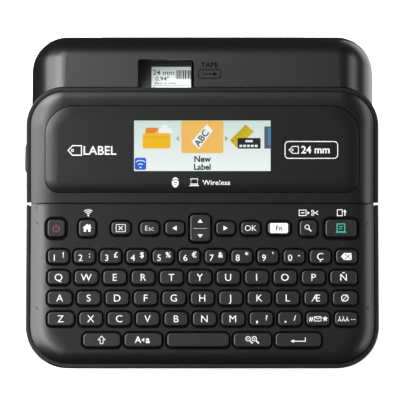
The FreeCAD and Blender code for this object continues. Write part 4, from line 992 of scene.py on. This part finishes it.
# ---------------------------------------------------------------- studio and camera
def floor():
    """A wide pale floor that glows a little; glossy plastic doesn't mirror it."""
    reach = 8.0
    mesh = bpy.data.meshes.new("floor")
    mesh.from_pydata([(x, y, 0) for x, y in rectangle(-reach, -reach, reach, reach)], [], [(0, 1, 2, 3)])
    sheet = bpy.data.objects.new("floor", mesh)
    bpy.context.scene.collection.objects.link(sheet)
    material, tree, shader = new_material("pale_floor")
    tone = mix(tree, noise(tree, 6.0, 3.0), (0.9, 0.9, 0.9), (0.93, 0.93, 0.93))
    tree.links.new(tone, shader.inputs["Base Color"])
    shader.inputs["Roughness"].default_value = 0.8
    shader.inputs["Specular IOR Level"].default_value = 0.1
    shader.inputs["Emission Color"].default_value = (1, 1, 1, 1)
    shader.inputs["Emission Strength"].default_value = 0.75
    mesh.materials.append(material)
    sheet.visible_glossy = False


def backdrop():
    """White behind everything for the camera, almost dark for every other ray."""
    world = bpy.data.worlds.new("studio")
    bpy.context.scene.world = world
    world.use_nodes = True
    tree = world.node_tree
    background = tree.nodes["Background"]
    background.inputs["Color"].default_value = (1, 1, 1, 1)
    rays = tree.nodes.new("ShaderNodeLightPath")
    level = tree.nodes.new("ShaderNodeMix")
    level.inputs["A"].default_value = 0.03
    level.inputs["B"].default_value = 1.0
    tree.links.new(rays.outputs["Is Camera Ray"], level.inputs["Factor"])
    tree.links.new(level.outputs["Result"], background.inputs["Strength"])


def area_light(name, place, wide, tall, radiance):
    """A soft box aimed at the object; it lights and reflects, but the camera looks through it."""
    light = bpy.data.lights.new(name, "AREA")
    light.shape = "RECTANGLE"
    light.size = wide
    light.size_y = tall
    light.energy = radiance * math.pi * wide * tall
    holder = bpy.data.objects.new(name, light)
    bpy.context.scene.collection.objects.link(holder)
    holder.location = place
    holder.rotation_mode = "QUATERNION"
    holder.rotation_quaternion = (TARGET - Vector(place)).to_track_quat("-Z", "Y")
    holder.visible_camera = False
    return holder


def lights():
    """Soft boxes high on the left, a low strip on the right and a reflected glow from the table."""
    area_light("key", (-1.0, 0.14, 1.02), 1.7, 1.4, 7.4)
    area_light("rear", (-0.6, 0.76, 1.45), 1.0, 0.5, 6.8)
    area_light("overhead", (-0.35, 0.02, 1.15), 0.95, 0.26, 1.4)
    area_light("front", (-0.52, -0.46, 1.2), 0.9, 0.28, 3.6)
    area_light("strip", (0.72, 0.02, 0.6), 1.3, 0.38, 3.3)
    bounce = area_light("bounce", (0.38, 0.0, 4 * MM), 0.5, 1.2, 2.2)
    bounce.rotation_quaternion = Matrix.Rotation(math.pi, 4, "X").to_quaternion()
    bounce.visible_diffuse = False


def camera():
    """Looks down at the object from the front."""
    back = Vector((0, -math.cos(ELEVATION), math.sin(ELEVATION)))
    lens = bpy.data.cameras.new("camera")
    lens.sensor_width = SENSOR
    lens.lens = SENSOR * DISTANCE / FIELD
    lens.clip_end = 50.0
    holder = bpy.data.objects.new("camera", lens)
    bpy.context.scene.collection.objects.link(holder)
    holder.location = TARGET + back * DISTANCE
    holder.rotation_mode = "QUATERNION"
    holder.rotation_quaternion = (-back).to_track_quat("-Z", "Y")
    bpy.context.scene.camera = holder
    bpy.context.scene.view_settings.view_transform = "Standard"


dress_nodes()
camera()
floor()
backdrop()
lights()
all_legends()
key_surrounds()
bezel_marks()
bezel_seam()
crease_seam()
cover_marks()
screen()
cassette_marks()
hood_marks()
rating_label()
